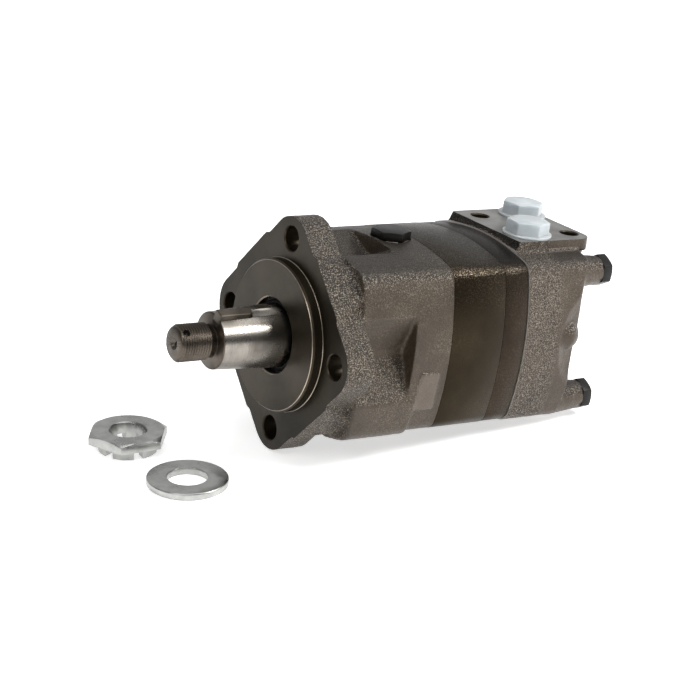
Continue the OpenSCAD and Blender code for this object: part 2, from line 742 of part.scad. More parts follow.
module balance_plate() {
    x1 = x_cover - valve_t - 2 * slip;
    color("#9b9894") difference() {
        ring_x(x1 - balance_t, x1, chamber_r - 0.4, 12);
        rod_x(x1 - balance_t - 1, x1 - balance_t + 3, 17);
        at_balance_pins() rod_x(x1 - balance_t - 1, x1 - 2, 2 + run);
        ring_x(x1 - 2, x1 + 1, 21.5, 18);
    }
}

module balance_pins() {
    x1 = x_cover - valve_t - 2 * slip;
    color("#8d8a86") at_balance_pins() rod_x(x_chamber_end - 5.5, x1 - 3, 2);
}

// A coil spring of round wire as one swept tube from station x0 to x1.
module coil_spring(x0, x1, r, wire_r, turns) {
    sides = 6;
    rings = turns * 12;
    points = [for (i = [0:rings], j = [0:sides - 1])
        let (t = i / rings, a = t * turns * 360, b = j * 360 / sides, q = r - wire_r + wire_r * cos(b))
        [x0 + wire_r + (x1 - x0 - 2 * wire_r) * t + wire_r * sin(b), q * cos(a), q * sin(a)]];
    faces = concat(
        [[for (j = [0:sides - 1]) j]],
        [for (i = [0:rings - 1], j = [0:sides - 1])
            let (k = (j + 1) % sides) [i * sides + j, (i + 1) * sides + j, (i + 1) * sides + k, i * sides + k]],
        [[for (j = [sides - 1:-1:0]) rings * sides + j]]);
    polyhedron(points, faces, convexity = 6);
}

module balance_springs() {
    x1 = x_cover - valve_t - 2 * slip - balance_t;
    color("#77736f") at_springs()
        coil_spring(x_chamber_end - spring_pocket + run, x1 - run, spring_r, 0.5, 4);
}

module drain_plug() {
    z = drain_seat_z + drain_ring_t;
    color("#1b1a19") translate([-drain_x, 0, z]) {
        rotate(30) hex_head(drain_plug_af, drain_plug_h, 0.4);
        translate([0, 0, -drain_shank]) cylinder(h = drain_shank + 0.5, r = drain_thread_r);
    }
}

module drain_seal_ring() {
    color("#8c8983") translate([-drain_x, 0, drain_seat_z]) difference() {
        cylinder(h = drain_ring_t, r = drain_plug_af / 2 + 0.5);
        translate([0, 0, -1]) cylinder(h = 3, r = drain_thread_r + run);
    }
}

module output_shaft() {
    bore_end = x_bearing_end + 16;
    hub_x = x_bearing_end - hub_t;
    color("#a5a29e") difference() {
        turned([[shaft_reach, 0], [shaft_reach, thread_r - 1.5], [shaft_reach - 1.5, thread_r],
            [shoulder_x + 3, thread_r], [shoulder_x + 2.6, thread_r - 1.2], [shoulder_x, thread_r - 1.2],
            [shoulder_x, shoulder_r - 1.2], [shoulder_x - 0.5, shoulder_r], [taper_end, seal_land_r],
            [x_nut + 0.8, seal_land_r], [x_nut, bearing_r], [x_bearing_end, bearing_r],
            [x_bearing_end, hub_r], [hub_x, hub_r], [hub_x, 0]]);
        along_x(hub_x - 1, bore_end) spline_bore_outline();
        rotate([-key_angle, 0, 0]) translate([shoulder_x - key_len - run, -key_w / 2 - run, key_bottom])
            cube([key_len + 2, key_w + 2 * run, 10]);
        translate([shaft_reach - 3.5, 0, 0]) rotate([-38, 0, 0]) cylinder(h = 3 * thread_r, r = pin_hole_r, center = true);
        turned([[shaft_reach + 1, 0], [shaft_reach + 1, 4.2], [shaft_reach - 1.4, 0]]);
    }
}

module shaft_key() {
    color("#8f8b86") rotate([-key_angle, 0, 0])
        translate([shoulder_x - key_len, -key_w / 2, key_bottom + 0.02])
            cube([key_len, key_w, key_top - key_bottom - 0.02]);
}

module cone_spacer() {
    color("#8d8a86") ring_x(x_bearing_end + bearing_w - cone_set + eps, x_bearing - bearing_w + cone_set - eps,
        bearing_r + 2.2, bearing_r + run);
}

module bearing_nut() {
    color("#6b6864") difference() {
        ring_x(x_bearing, x_nut - 0.1, bearing_nut_r, bearing_r + run);
        for (a = [45:90:315]) rotate([a, 0, 0]) translate([x_bearing - 1, -2.5, bearing_nut_r - 2.2])
            cube([bearing_nut_w + 2, 5, 5]);
    }
}

module disc_valve() {
    x1 = x_cover - slip;
    x0 = x1 - valve_t;
    color("#a19e9a") difference() {
        ring_x(x0, x1, valve_r, 8);
        along_x(x0 - 1, x1 + 1) spline_bore_outline();
        for (i = [0:lobe_n - 1]) rotate([i * 60, 0, 0]) {
            translate([0, 0, channel_pitch_r - 2]) rod_x(x0 - 1, x1 + 1, 3);
            rotate([30, 0, 0]) translate([0, 0, channel_pitch_r]) {
                rod_x(x1 - 9, x1 + 1, 3);
                translate([x1 - 9, -3, 0]) cube([10, 6, 12]);
            }
        }
    }
}

module port_plug(side) {
    color("#c9d6dc") translate([port_mid_x + side * port_gap_x / 2, side * port_gap_y / 2, port_face_z]) {
        difference() {
            union() {
                cylinder(h = port_plug_collar_t, r = port_plug_collar_r);
                translate([0, 0, port_plug_collar_t - 0.2]) rotate(side > 0 ? 24 : 40)
                    hex_head(port_plug_af, port_plug_head_h + 0.2, 0.35);
                translate([0, 0, -port_plug_shank]) cylinder(h = port_plug_shank + 0.5, r = port_thread_r - 2 * run);
            }
            translate([0, 0, -port_plug_shank - 1]) cylinder(h = port_plug_shank, r = port_thread_r - 2.5);
        }
    }
}

// Stands a piece on the floor that the motor rests on, nose up on its flange.
module on_floor(ahead, near) {
    translate([-flange_t, 0, -flange_reach]) rotate([0, floor_tilt, 0]) translate([ahead, near, 0]) children();
}

module castle_nut() {
    h = crown_h + nut_hex_h;
    color("#b4b5b2") on_floor(nut_ahead, -nut_beyond) difference() {
        union() {
            translate([0, 0, crown_h]) rotate(-7) hex_head(nut_af, nut_hex_h, 0.55);
            cylinder(h = crown_h + 1, r = crown_r);
        }
        translate([0, 0, -1]) cylinder(h = h + 2, r = thread_r + run);
        translate([0, 0, h - 0.6]) cylinder(h = 0.7, r1 = thread_r + run, r2 = thread_r + run + 0.7);
        for (a = [0:60:120]) rotate(a + 23) translate([-crown_r - 1, -crown_slot_w / 2, -1])
            cube([2 * crown_r + 2, crown_slot_w, crown_h]);
    }
}

module flat_washer() {
    color("#adaeab") on_floor(washer_ahead, washer_before) difference() {
        rotate_extrude() polygon([[0, 0], [washer_r - 0.5, 0], [washer_r, 0.5], [washer_r, washer_t - 0.5],
            [washer_r - 0.5, washer_t], [0, washer_t]]);
        translate([0, 0, -1]) cylinder(h = washer_t + 2, r = washer_hole_r);
    }
}

front_housing();
dust_seal();
shaft_seal();
color("#8f8f92") at_front_bearing() bearing_cup();  // front_bearing_cup
color("#8f8f92") at_rear_bearing() bearing_cup();  // rear_bearing_cup
cup_spacer();
cup_retainer();
wear_plate();
stator_ring();
channel_plate();
end_cover();
tie_bolts();
balance_plate();
balance_springs();
balance_pins();
color("#22201f") o_ring(x_gear + 0.8 * o_ring_r + 0.03, o_ring_seat_r);  // housing_o_ring
color("#22201f") o_ring(x_channel - 0.8 * o_ring_r - 0.03, o_ring_seat_r);  // channel_o_ring
color("#22201f") o_ring(x_cover - 0.8 * o_ring_r - 0.03, cover_ring_seat_r);  // cover_o_ring
drain_plug();
drain_seal_ring();
output_shaft();
shaft_key();
color("#8f8f92") at_front_bearing() bearing_cone();  // front_bearing_cone
color("#8f8f92") at_rear_bearing() bearing_cone();  // rear_bearing_cone
cone_spacer();
bearing_nut();
color("#c4c2be") at_front_bearing() bearing_roller_set(0);  // front_bearing_rollers
color("#96908a") at_front_bearing() bearing_cage();  // front_bearing_cage
color("#c4c2be") at_rear_bearing() bearing_roller_set(0);  // rear_bearing_rollers
color("#96908a") at_rear_bearing() bearing_cage();  // rear_bearing_cage
distance_disc();
rotor();
color("#938f8a") drive(front_end_x, 0, cardan_rear_x, rotor_z);  // cardan_shaft
color("#938f8a") drive(valve_front_x, rotor_z, valve_rear_x, 0);  // valve_drive
disc_valve();
gear_roller(1);  // roller_1
gear_roller(2);  // roller_2
gear_roller(3);  // roller_3
gear_roller(4);  // roller_4
gear_roller(5);  // roller_5
gear_roller(6);  // roller_6
gear_roller(7);  // roller_7
port_plug(1);  // near_port_plug
port_plug(-1);  // far_port_plug
castle_nut();
flat_washer();
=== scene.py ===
import json
import math

import bmesh
import bpy
import numpy as np
from mathutils import Matrix, Vector, noise as sand


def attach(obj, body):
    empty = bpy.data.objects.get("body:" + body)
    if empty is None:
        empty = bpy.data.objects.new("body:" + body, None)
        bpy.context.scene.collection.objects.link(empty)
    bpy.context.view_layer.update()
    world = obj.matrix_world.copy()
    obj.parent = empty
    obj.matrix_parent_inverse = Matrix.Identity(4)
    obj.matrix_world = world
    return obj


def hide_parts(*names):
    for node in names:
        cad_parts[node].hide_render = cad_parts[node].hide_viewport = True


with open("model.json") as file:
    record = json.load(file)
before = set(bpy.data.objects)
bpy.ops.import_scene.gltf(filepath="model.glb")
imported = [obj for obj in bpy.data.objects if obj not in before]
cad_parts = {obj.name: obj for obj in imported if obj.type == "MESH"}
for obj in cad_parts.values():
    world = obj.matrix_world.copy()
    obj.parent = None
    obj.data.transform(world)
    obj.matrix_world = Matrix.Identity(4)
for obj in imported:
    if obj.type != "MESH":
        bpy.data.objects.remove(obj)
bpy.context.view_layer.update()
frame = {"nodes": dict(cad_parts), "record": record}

nodes = frame["nodes"]
bodyOf = {node: body for body, members in frame["record"]["behaviour"]["bodies"].items() for node in members}
mm = 0.001
print("frame loaded", len(nodes), "nodes")


# Small helpers.
def linear(hexColour):  # an sRGB hex colour as the linear RGBA that shaders take
    out = []
    for i in (0, 2, 4):
        c = int(hexColour[i:i + 2], 16) / 255
        out.append(c / 12.92 if c <= 0.04045 else ((c + 0.055) / 1.055) ** 2.4)
    return (*out, 1.0)


def addNode(tree, kind, inputs=(), **settings):
    # inputs go by name, or as a list down the sockets that the node shows; a node among them stands for its result
    node = tree.nodes.new(kind)
    for name, value in settings.items():
        setattr(node, name, value)
    named = isinstance(inputs, dict)
    shown = [socket for socket in node.inputs if socket.enabled]
    for key, value in inputs.items() if named else enumerate(inputs):
        socket = node.inputs[key] if named else shown[key]
        if isinstance(value, bpy.types.Node):
            value = next(output for output in value.outputs if output.enabled)
        if isinstance(value, bpy.types.NodeSocket):
            tree.links.new(value, socket)
        else:
            socket.default_value = linear(value) if isinstance(value, str) else value
    return node


def newMaterial(name):
    material = bpy.data.materials.new(name)
    material.use_nodes = True
    tree = material.node_tree
    tree.nodes.clear()
    return material, tree, addNode(tree, "ShaderNodeTexCoord").outputs["Object"]


def scaleOf(size):  # a texture's scale, from the size of its grains in millimetres
    return 1 / (size * mm)


def dress(tree, height, look, depth, inputs):
    # The last nodes of a material. The edge in its look is the radius over which sharp corners catch the light.
    soft = addNode(tree, "ShaderNodeBevel", [look["edge"] * mm], samples=4)
    bump = addNode(tree, "ShaderNodeBump", {"Height": height, "Strength": look["bump"], "Distance": depth * mm,
                   "Normal": soft})
    shader = addNode(tree, "ShaderNodeBsdfPrincipled", {**inputs, "Normal": bump})
    addNode(tree, "ShaderNodeOutputMaterial", [shader])


# Materials.
def castIron(name, look):
    # Grey iron cast in sand, under a film of oil. Bright grains are painted between pits painted dark, as painted
    # glints and
    # shade: on the coarse end, in clouds, and most where the skin faces half upward, where the light glances;
    # elsewhere it is smooth and dull. The sand is too fine to show, so it is drawn coarser.
    material, tree, place = newMaterial(name)
    facing = addNode(tree, "ShaderNodeTexCoord").outputs["Normal"]
    upward = addNode(tree, "ShaderNodeSeparateXYZ", [facing]).outputs["Z"]
    station = addNode(tree, "ShaderNodeSeparateXYZ", [place]).outputs["X"]
    cloud = addNode(tree, "ShaderNodeTexNoise", [place, scaleOf(look["cloud"]), 3, 0.55])
    patch = addNode(tree, "ShaderNodeTexNoise", [place, scaleOf(look["patch"]), 3, 0.6])
    grain = addNode(tree, "ShaderNodeTexNoise", [place, scaleOf(look["grain"]), 1.5, 0.5])
    fine = addNode(tree, "ShaderNodeTexNoise", [place, scaleOf(look["grain"] / 2.3), 2, 0.5])
    # how much grain shows, with its painted glints and painted shade: most on skin that faces half upward, where the
    # light glances, and on the coarse end and in clouds
    # the grain is painted brightest where the skin faces half upward, where the light glances; level tops keep the
    # look's top share
    rising = addNode(tree, "ShaderNodeMapRange", [upward, 0.12, 0.5])
    level = addNode(tree, "ShaderNodeMapRange", [upward, 0.72, 0.95, 1, look["top"]])
    paintedGlintSlope = addNode(tree, "ShaderNodeMath", [rising, level], operation="MULTIPLY")
    coarse = addNode(tree, "ShaderNodeMapRange", [station, look["coarseFrom"] * mm, look["coarseTo"] * mm])
    cloudy = addNode(tree, "ShaderNodeMapRange", [cloud, 0.45, 0.65, look["least"], look["most"]])
    broken = addNode(tree, "ShaderNodeMapRange", [patch, 0.3, 0.6, 0.75, 1])
    grainAndGlint = addNode(tree, "ShaderNodeMath", [paintedGlintSlope, coarse], operation="MAXIMUM")
    grainAndGlint = addNode(tree, "ShaderNodeMath", [grainAndGlint, cloudy], operation="MAXIMUM")
    grainAndGlint = addNode(tree, "ShaderNodeMath", [grainAndGlint, broken], operation="MULTIPLY")
    clouded = addNode(tree, "ShaderNodeMapRange", [cloud, 0.38, 0.66])
    # painted shade: skin that faces upward is darkened towards the darkest tone, for the dark it reflects
    paintedDarkTop = addNode(tree, "ShaderNodeMapRange", [upward, 0.3, 0.9, 0, look["paintedDarkTop"]])
    # painted glints: grain crests take the light colour; painted shade: the pits take the darkest tone
    high = addNode(tree, "ShaderNodeMapRange", [grain, 0.52, 0.66, 0, look["crest"]])
    deep = addNode(tree, "ShaderNodeMapRange", [grain, 0.38, 0.53, look["hollow"], 0])
    crest = addNode(tree, "ShaderNodeMath", [high, grainAndGlint], operation="MULTIPLY")
    hollow = addNode(tree, "ShaderNodeMath", [deep, grainAndGlint], operation="MULTIPLY")
    tone = addNode(tree, "ShaderNodeMix", [clouded, look["dark"], look["mid"]], data_type="RGBA")
    tone = addNode(tree, "ShaderNodeMix", [paintedDarkTop, tone, look["shadeTone"]], data_type="RGBA")
    tone = addNode(tree, "ShaderNodeMix", [crest, tone, look["light"]], data_type="RGBA")
    tone = addNode(tree, "ShaderNodeMix", [hollow, tone, look["shadeTone"]], data_type="RGBA")
    gloss = addNode(tree, "ShaderNodeMapRange", [grain, 0.35, 0.7, look["rough"] + 0.08, look["rough"] - 0.08])
    relief = addNode(tree, "ShaderNodeMath", [fine, 0.25, grain], operation="MULTIPLY_ADD")
    strength = addNode(tree, "ShaderNodeMath", [grainAndGlint, 0.12], operation="ADD")
    height = addNode(tree, "ShaderNodeMath", [relief, strength], operation="MULTIPLY")
    dress(tree, height, look, 0.9, {"Base Color": tone, "Metallic": look["metal"], "Roughness": gloss})
    return material


def turnedMetal(name, look):
    # Metal cut on a lathe about X: fine rings, and stains that show where it was handled. The tool's marks are about
    # 0.1 mm apart, too fine to show, so the rings are drawn coarser.
    material, tree, place = newMaterial(name)
    along = addNode(tree, "ShaderNodeSeparateXYZ", [place]).outputs["X"]
    flat = addNode(tree, "ShaderNodeVectorMath", [place, (0, 1, 1)], operation="MULTIPLY")
    radius = addNode(tree, "ShaderNodeVectorMath", [flat], operation="LENGTH")
    section = addNode(tree, "ShaderNodeCombineXYZ", [along, radius])
    rings = addNode(tree, "ShaderNodeTexNoise", [section, scaleOf(look["ring"]), 3, 0.7])
    stain = addNode(tree, "ShaderNodeTexNoise", [place, scaleOf(look["stain"]), 4, 0.6])
    stained = addNode(tree, "ShaderNodeMapRange", [stain, 0.38, 0.68])
    ringed = addNode(tree, "ShaderNodeMapRange", [rings, 0.4, 0.75, 0, look["ringTone"]])
    tone = addNode(tree, "ShaderNodeMix", [stained, look["light"], look["dark"]], data_type="RGBA")
    tone = addNode(tree, "ShaderNodeMix", [ringed, tone, look["ringColour"]], data_type="RGBA")
    gloss = addNode(tree, "ShaderNodeMapRange", [stain, 0.3, 0.7, look["rough"] - 0.05, look["rough"] + 0.08])
    dress(tree, rings, look, 0.12, {"Base Color": tone, "Metallic": look["metal"], "Roughness": gloss})
    return material


def platedSteel(name, look):
    # Cold-formed or milled steel under zinc or black oxide: cloudy sheen with faint scratches.
    material, tree, place = newMaterial(name)
    cloud = addNode(tree, "ShaderNodeTexNoise", [place, scaleOf(look["cloud"]), 4, 0.6])
    drawn = addNode(tree, "ShaderNodeMapping", {"Vector": place, "Scale": (1, 6, 1)})
    scratches = addNode(tree, "ShaderNodeTexNoise", [drawn, scaleOf(look["scratch"]), 3, 0.6])
    clouded = addNode(tree, "ShaderNodeMapRange", [cloud, 0.35, 0.7])
    tone = addNode(tree, "ShaderNodeMix", [clouded, look["dark"], look["light"]], data_type="RGBA")
    gloss = addNode(tree, "ShaderNodeMapRange", [cloud, 0.3, 0.7, look["rough"] - 0.06, look["rough"] + 0.08])
    dress(tree, scratches, look, 0.2, {"Base Color": tone, "Metallic": look["metal"], "Roughness": gloss})
    return material


def milkyPlastic(name, look):
    # Injection-moulded polyethylene: light enters and comes out bluish, and the gloss is soft.
    material, tree, place = newMaterial(name)
    cloud = addNode(tree, "ShaderNodeTexNoise", [place, scaleOf(look["cloud"]), 3, 0.5])
    fine = addNode(tree, "ShaderNodeTexNoise", [place, scaleOf(look["grain"]), 3, 0.6])
    clouded = addNode(tree, "ShaderNodeMapRange", [cloud, 0.35, 0.7])
    tone = addNode(tree, "ShaderNodeMix", [clouded, look["dark"], look["light"]], data_type="RGBA")
    gloss = addNode(tree, "ShaderNodeMapRange", [cloud, 0.3, 0.7, 0.3, 0.4])
    dress(tree, fine, look, 0.3, {"Base Color": tone, "Roughness": gloss, "Subsurface Weight": look["milky"],
                                  "Subsurface Radius": look["tint"], "Subsurface Scale": look["reach"] * mm,
                                  "Transmission Weight": look["clear"]})
    return material


def sealRubber(name, look):
    # Nitrile rubber, moulded matt and wet with oil.
    material, tree, place = newMaterial(name)
    fine = addNode(tree, "ShaderNodeTexNoise", [place, scaleOf(look["grain"]), 3, 0.6])
    tone = addNode(tree, "ShaderNodeMix", [fine, look["dark"], look["light"]], data_type="RGBA")
    gloss = addNode(tree, "ShaderNodeMapRange", [fine, 0.3, 0.7, 0.35, 0.6])
    dress(tree, fine, look, 0.2, {"Base Color": tone, "Roughness": gloss})
    return material


# Sizes in these looks are in millimetres: of grains, rings, stains and clouds, and of the softened edge.
# In the iron looks, light is the colour of painted glints on grain crests; the darkest tone is painted shade in pits
# and on upward-facing skin.
ironLook = {"dark": "3a3126", "mid": "4f4436", "light": "a4998b", "shadeTone": "120e0b", "cloud": 41.67, "patch": 9.091,
            "grain": 0.6452, "crest": 0.75, "hollow": 0.85, "metal": 0.35, "rough": 0.42, "bump": 0.8, "least": 0.08,
            "most": 0.4, "top": 0.15, "paintedDarkTop": 0.75, "coarseFrom": -18.3, "coarseTo": -16.8, "edge": 0.4}
evenLook = {**ironLook, "coarseFrom": 1000, "coarseTo": 2000}  # without a coarse end
groundLook = {**evenLook, "light": "6d6355", "bump": 0.3, "metal": 0.9}
turnedLook = {"ring": 0.3846, "stain": 22.22, "light": "97928b", "dark": "6e6962", "ringTone": 0.35,
              "ringColour": "58524c", "metal": 1.0, "rough": 0.26, "bump": 0.2, "edge": 0.3}
facedLook = {**turnedLook, "stain": 35.71, "metal": 0.75}
platedLook = {"cloud": 11.11, "scratch": 1.4286, "dark": "9a9b98", "light": "bfc0bd", "metal": 1.0, "rough": 0.3,
              "bump": 0.2, "edge": 0.4}
plasticLook = {"cloud": 9.091, "grain": 1.1111, "dark": "b6bdc0", "light": "c9cfd2", "milky": 0.85,
               "tint": (0.85, 0.93, 1.0), "reach": 6, "clear": 0.2, "bump": 0.12, "edge": 0.6}
rubberLook = {"grain": 1.4286, "dark": "0d0c0b", "light": "242120", "bump": 0.2, "edge": 0.2}
materials = {
    "housing": castIron("cast_iron_oiled_brown", ironLook),  # as cast: oily brown, with painted glints on the grain
    "cover": castIron("cast_iron_rough_grey", {**ironLook, "dark": "3f352a", "mid": "52473b", "light": "9c9183",
                                               "least": 0.1, "most": 0.45, "coarseFrom": -153, "coarseTo": -146}),
    "pad": castIron("cast_iron_smooth_pad", {**evenLook, "dark": "574d43", "mid": "665b51", "least": 0.05,
                                             "most": 0.2}),  # a lighter, even patch
    "ramp": castIron("cast_iron_painted_shade", {**evenLook, "dark": "1d1916", "mid": "2b2622", "metal": 0.9,
                                             "crest": 0.2, "least": 0.2}),  # almost black: painted shade on the slope in front of the port face
    "ring": castIron("iron_ground_olive", {**groundLook, "dark": "241d12", "mid": "30281b", "least": 0.03,
                                           "most": 0.12, "rough": 0.36, "top": 0.5, "paintedDarkTop": 0.2}),
    "plate": castIron("iron_ground_grey", {**groundLook, "dark": "282119", "mid": "352d24", "least": 0.06,
                                           "most": 0.2, "rough": 0.38, "paintedDarkTop": 0.8}),
    "face": turnedMetal("cast_iron_faced", {**facedLook, "light": "2b2418", "dark": "1e1910", "ringTone": 0.25,
                                            "ringColour": "3a3225", "rough": 0.4}),  # dark olive, faint rings
    "spigot": turnedMetal("cast_iron_turned", {**facedLook, "light": "362e21", "dark": "272117", "ringTone": 0.22,
                                               "ringColour": "453c2f", "rough": 0.36}),
    "paintedRimHighlight": turnedMetal("cast_iron_edge_painted_highlight", {**turnedLook, "light": "a89d8f", "dark": "7d7368",
                                                          "ringTone": 0.1, "rough": 0.3}),  # painted highlight on the rim's edges
    "jointFaceAndHighlight": turnedMetal("cast_iron_joint_face_and_highlight", {**turnedLook, "light": "d8d5cf", "dark": "b8b4ad", "metal": 0.4,
                                                      "rough": 0.4}),  # freshly milled and pale, lightened near white as a painted highlight
    "portFace": turnedMetal("cast_iron_milled", {**turnedLook, "light": "7c7b78", "dark": "5d5b58", "ringTone": 0.3,
                                                 "ringColour": "666460", "metal": 0.4, "rough": 0.34}),
    "ground": turnedMetal("steel_ground", turnedLook),  # ground steel: bright, with handling stains
    "thread": turnedMetal("steel_thread_rolled", {**turnedLook, "light": "645c53", "dark": "3a342e", "rough": 0.34}),
    "hard": turnedMetal("steel_hardened", {**turnedLook, "light": "6d6862", "dark": "4d4843", "rough": 0.33}),
    "key": platedSteel("steel_key_drawn", {**platedLook, "dark": "4a443d", "light": "6c655c", "rough": 0.42}),
    "spring": turnedMetal("steel_spring_wire", {**turnedLook, "light": "83807b", "dark": "5d5a56", "rough": 0.35}),
    "black": platedSteel("steel_blackened", {**platedLook, "dark": "080706", "light": "171412", "metal": 0.5,
                                             "rough": 0.36, "bump": 0.3}),  # black oxide under oil
    "zinc": platedSteel("steel_zinc_plated", platedLook),  # bright and cloudy
    "sealRing": platedSteel("sealing_ring_aluminium", {**platedLook, "dark": "87827a", "light": "a8a39a",
                                                       "rough": 0.4}),
    "plastic": milkyPlastic("polyethylene_milky", plasticLook),
    "rubber": sealRubber("rubber_nitrile", rubberLook),
}
finishOf = {"cast_iron_dark": "housing", "cast_iron_ring": "ring", "cast_iron_cover": "cover",
            "ground_steel": "ground", "hardened_steel": "hard", "blackened_steel": "black",
            "zinc_steel": "zinc", "spring_steel": "spring", "seal_rubber": "rubber",
            "drain_ring_metal": "sealRing", "plug_plastic": "plastic"}
slotOf = {subpart["node"]: subpart["material_slot"] for subpart in frame["record"]["subparts"]}
for node, slotName in slotOf.items():
    nodes[node].data.materials.clear()
    nodes[node].data.materials.append(materials[finishOf[slotName]])
print("materials made")


# Mesh tools; lengths are in millimetres.
def meshPiece(name, points, faces, *finishes):
    mesh = bpy.data.meshes.new(name)
    mesh.from_pydata([Vector(p) * mm for p in points], [], faces)
    for key in finishes:
        mesh.materials.append(materials[key])
    piece = bpy.data.objects.new(name, mesh)
    bpy.context.scene.collection.objects.link(piece)
    return piece


def prism(outline, place, *finishes):
    # outline is a ring of flat points; place(u, v, end) puts one at either end
    count = len(outline)
    points = [place(u, v, end) for end in (0, 1) for u, v in outline]
    faces = [tuple(range(count)), tuple(range(2 * count - 1, count - 1, -1))]
    faces += [(i, i + count, (i + 1) % count + count, (i + 1) % count) for i in range(count)]
    return outward(meshPiece("prism", points, faces, *finishes))


def alongX(outline, x0, x1, *finishes):
    return prism(outline, lambda u, v, end: ((x0, x1)[end], u, v), *finishes)


def lathe(profile, middle=(0, 0), upright=False, steps=96, finishes=()):
    # profile is a closed ring of (station, radius); points on the axis are shared
    points, rows = [], []
    for station, radius in profile:
        row = []
        for i in range(1 if radius == 0 else steps):
            a = 2 * math.pi * i / steps
            u, v = middle[0] + radius * math.cos(a), middle[1] + radius * math.sin(a)
            row.append(len(points))
            points.append((u, v, station) if upright else (station, u, v))
        rows.append(row * steps if radius == 0 else row)
    faces = []
    for i, row in enumerate(rows):
        other = rows[(i + 1) % len(rows)]
        for j in range(steps):
            k = (j + 1) % steps
            ring = list(dict.fromkeys((row[j], row[k], other[k], other[j])))
            if len(ring) > 2:
                faces.append(ring)
    return outward(meshPiece("lathe", points, faces, *finishes))


def stepped(start, *steps):
    # a stepped hole's profile for lathe(), from (radius, station that it reaches) pairs
    points = [(start, 0)]
    for radius, end in steps:
        points += [(start, radius), (end, radius)]
        start = end
    return points + [(start, 0)]


def fourTimes(reach):  # the middles of four holes or bosses, in a square round the axis
    return [(u, v) for u in (-reach, reach) for v in (-reach, reach)]


def outward(piece):
    work = bmesh.new()
    work.from_mesh(piece.data)
    bmesh.ops.remove_doubles(work, verts=work.verts, dist=1e-7)
    bmesh.ops.recalc_face_normals(work, faces=work.faces)
    work.to_mesh(piece.data)
    work.free()
    return piece


def joined(name, pieces):
    work = bmesh.new()
    for piece in pieces:
        work.from_mesh(piece.data)
    mesh = bpy.data.meshes.new(name)
    work.to_mesh(mesh)
    work.free()
    for material in pieces[0].data.materials:
        mesh.materials.append(material)
    for piece in pieces:
        bpy.data.objects.remove(piece)
    result = bpy.data.objects.new(name, mesh)
    bpy.context.scene.collection.objects.link(result)
    return result


def baked(piece):
    # turns the piece with its modifiers into a plain mesh
    graph = bpy.context.evaluated_depsgraph_get()
    mesh = bpy.data.meshes.new_from_object(piece.evaluated_get(graph), depsgraph=graph)
    piece.modifiers.clear()
    piece.data = mesh
    return piece


def combined(piece, other, operation, tangled=False):
    step = piece.modifiers.new("boolean", "BOOLEAN")
    step.operation = operation
    step.object = other
    step.solver = "EXACT"
    step.use_self = tangled
    step.material_mode = "TRANSFER"
    baked(piece)
    bpy.data.objects.remove(other)
    return piece


def shaded(piece, degrees=35):
    piece.data.shade_smooth()
    piece.data.set_sharp_from_angle(angle=math.radians(degrees))
    return piece


def finished(piece, body, slotName, *replaced):
    shaded(piece)
    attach(piece, body)
    if replaced:
        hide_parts(*replaced)
    return piece


# Cast skins.
def moved(mesh, place):  # puts the mesh's points at their new places and returns its normals there
    mesh.vertices.foreach_set("co", place.ravel())
    mesh.update()
    normals = np.empty(place.size, np.float32)
    mesh.vertex_normals.foreach_get("vector", normals)
    return normals.reshape(-1, 3)


def castSkin(piece, cast):
    # Remeshes overlapping solids into one skin, rounds it as a pattern would be, and roughens it a little inwards.
    step = piece.modifiers.new("skin", "REMESH")
    step.mode = "VOXEL"
    step.voxel_size = cast["voxel"] * mm
    baked(piece)
    mesh = piece.data
    count = len(mesh.vertices)
    place = np.empty(count * 3)
    mesh.vertices.foreach_get("co", place)
    place = place.reshape(-1, 3)
    edges = np.empty(len(mesh.edges) * 2, np.int64)
    mesh.edges.foreach_get("vertices", edges)
    a, b = edges.reshape(-1, 2).T
    ends, others = np.concatenate((a, b)), np.concatenate((b, a))
    valence = np.bincount(ends, minlength=count)[:, None]
    for turn in range(cast["worn"] + cast["filled"]):
        spread = np.stack([np.bincount(ends, place[others, k], count) for k in range(3)], 1) / valence - place
        weight = np.full((count, 1), 0.5)
        if turn >= cast["worn"]:  # from here only hollows go on filling, as fillets do
            if (turn - cast["worn"]) % 5 == 0:
                normals = moved(mesh, place)
            bend = (spread * normals).sum(1) / (cast["voxel"] * mm)
            weight = np.clip(bend * 60, 0, 1)[:, None] * 0.5
        place = place + weight * spread
    normals = moved(mesh, place)
    rough = np.array([sand.noise(Vector(p) * cast["lump"]) + 0.5 * sand.noise(Vector(p) * cast["lump"] * 2.7)
                      for p in place])
    # shifted by 1.1, so that the skin moves inwards
    moved(mesh, place + normals * ((rough - 1.1) * cast["depth"] * mm / 1.5)[:, None])
    mesh.materials.clear()
    for key in cast["finishes"]:
        mesh.materials.append(materials[key])
    return piece


def planeCut(piece, point, normal, finish, within=lambda p: True):
    # Machines the skin off on one side of a plane and closes it with a flat face of its own finish.
    work = bmesh.new()
    work.from_mesh(piece.data)
    faces = [f for f in work.faces if all(within(v.co / mm) for v in f.verts)]
    corners = dict.fromkeys(v for f in faces for v in f.verts)
    geometry = [*corners, *dict.fromkeys(e for f in faces for e in f.edges), *faces]
    cut = bmesh.ops.bisect_plane(work, geom=geometry, dist=1e-7, plane_co=Vector(point) * mm, plane_no=normal,
                                 clear_outer=True)["geom_cut"]
    rim = [e for e in cut if isinstance(e, bmesh.types.BMEdge)]
    for face in bmesh.ops.holes_fill(work, edges=rim, sides=0)["faces"]:
        face.material_index = finish
        if face.normal.dot(Vector(normal)) < 0:
            face.normal_flip()
    work.to_mesh(piece.data)
    work.free()
    return piece


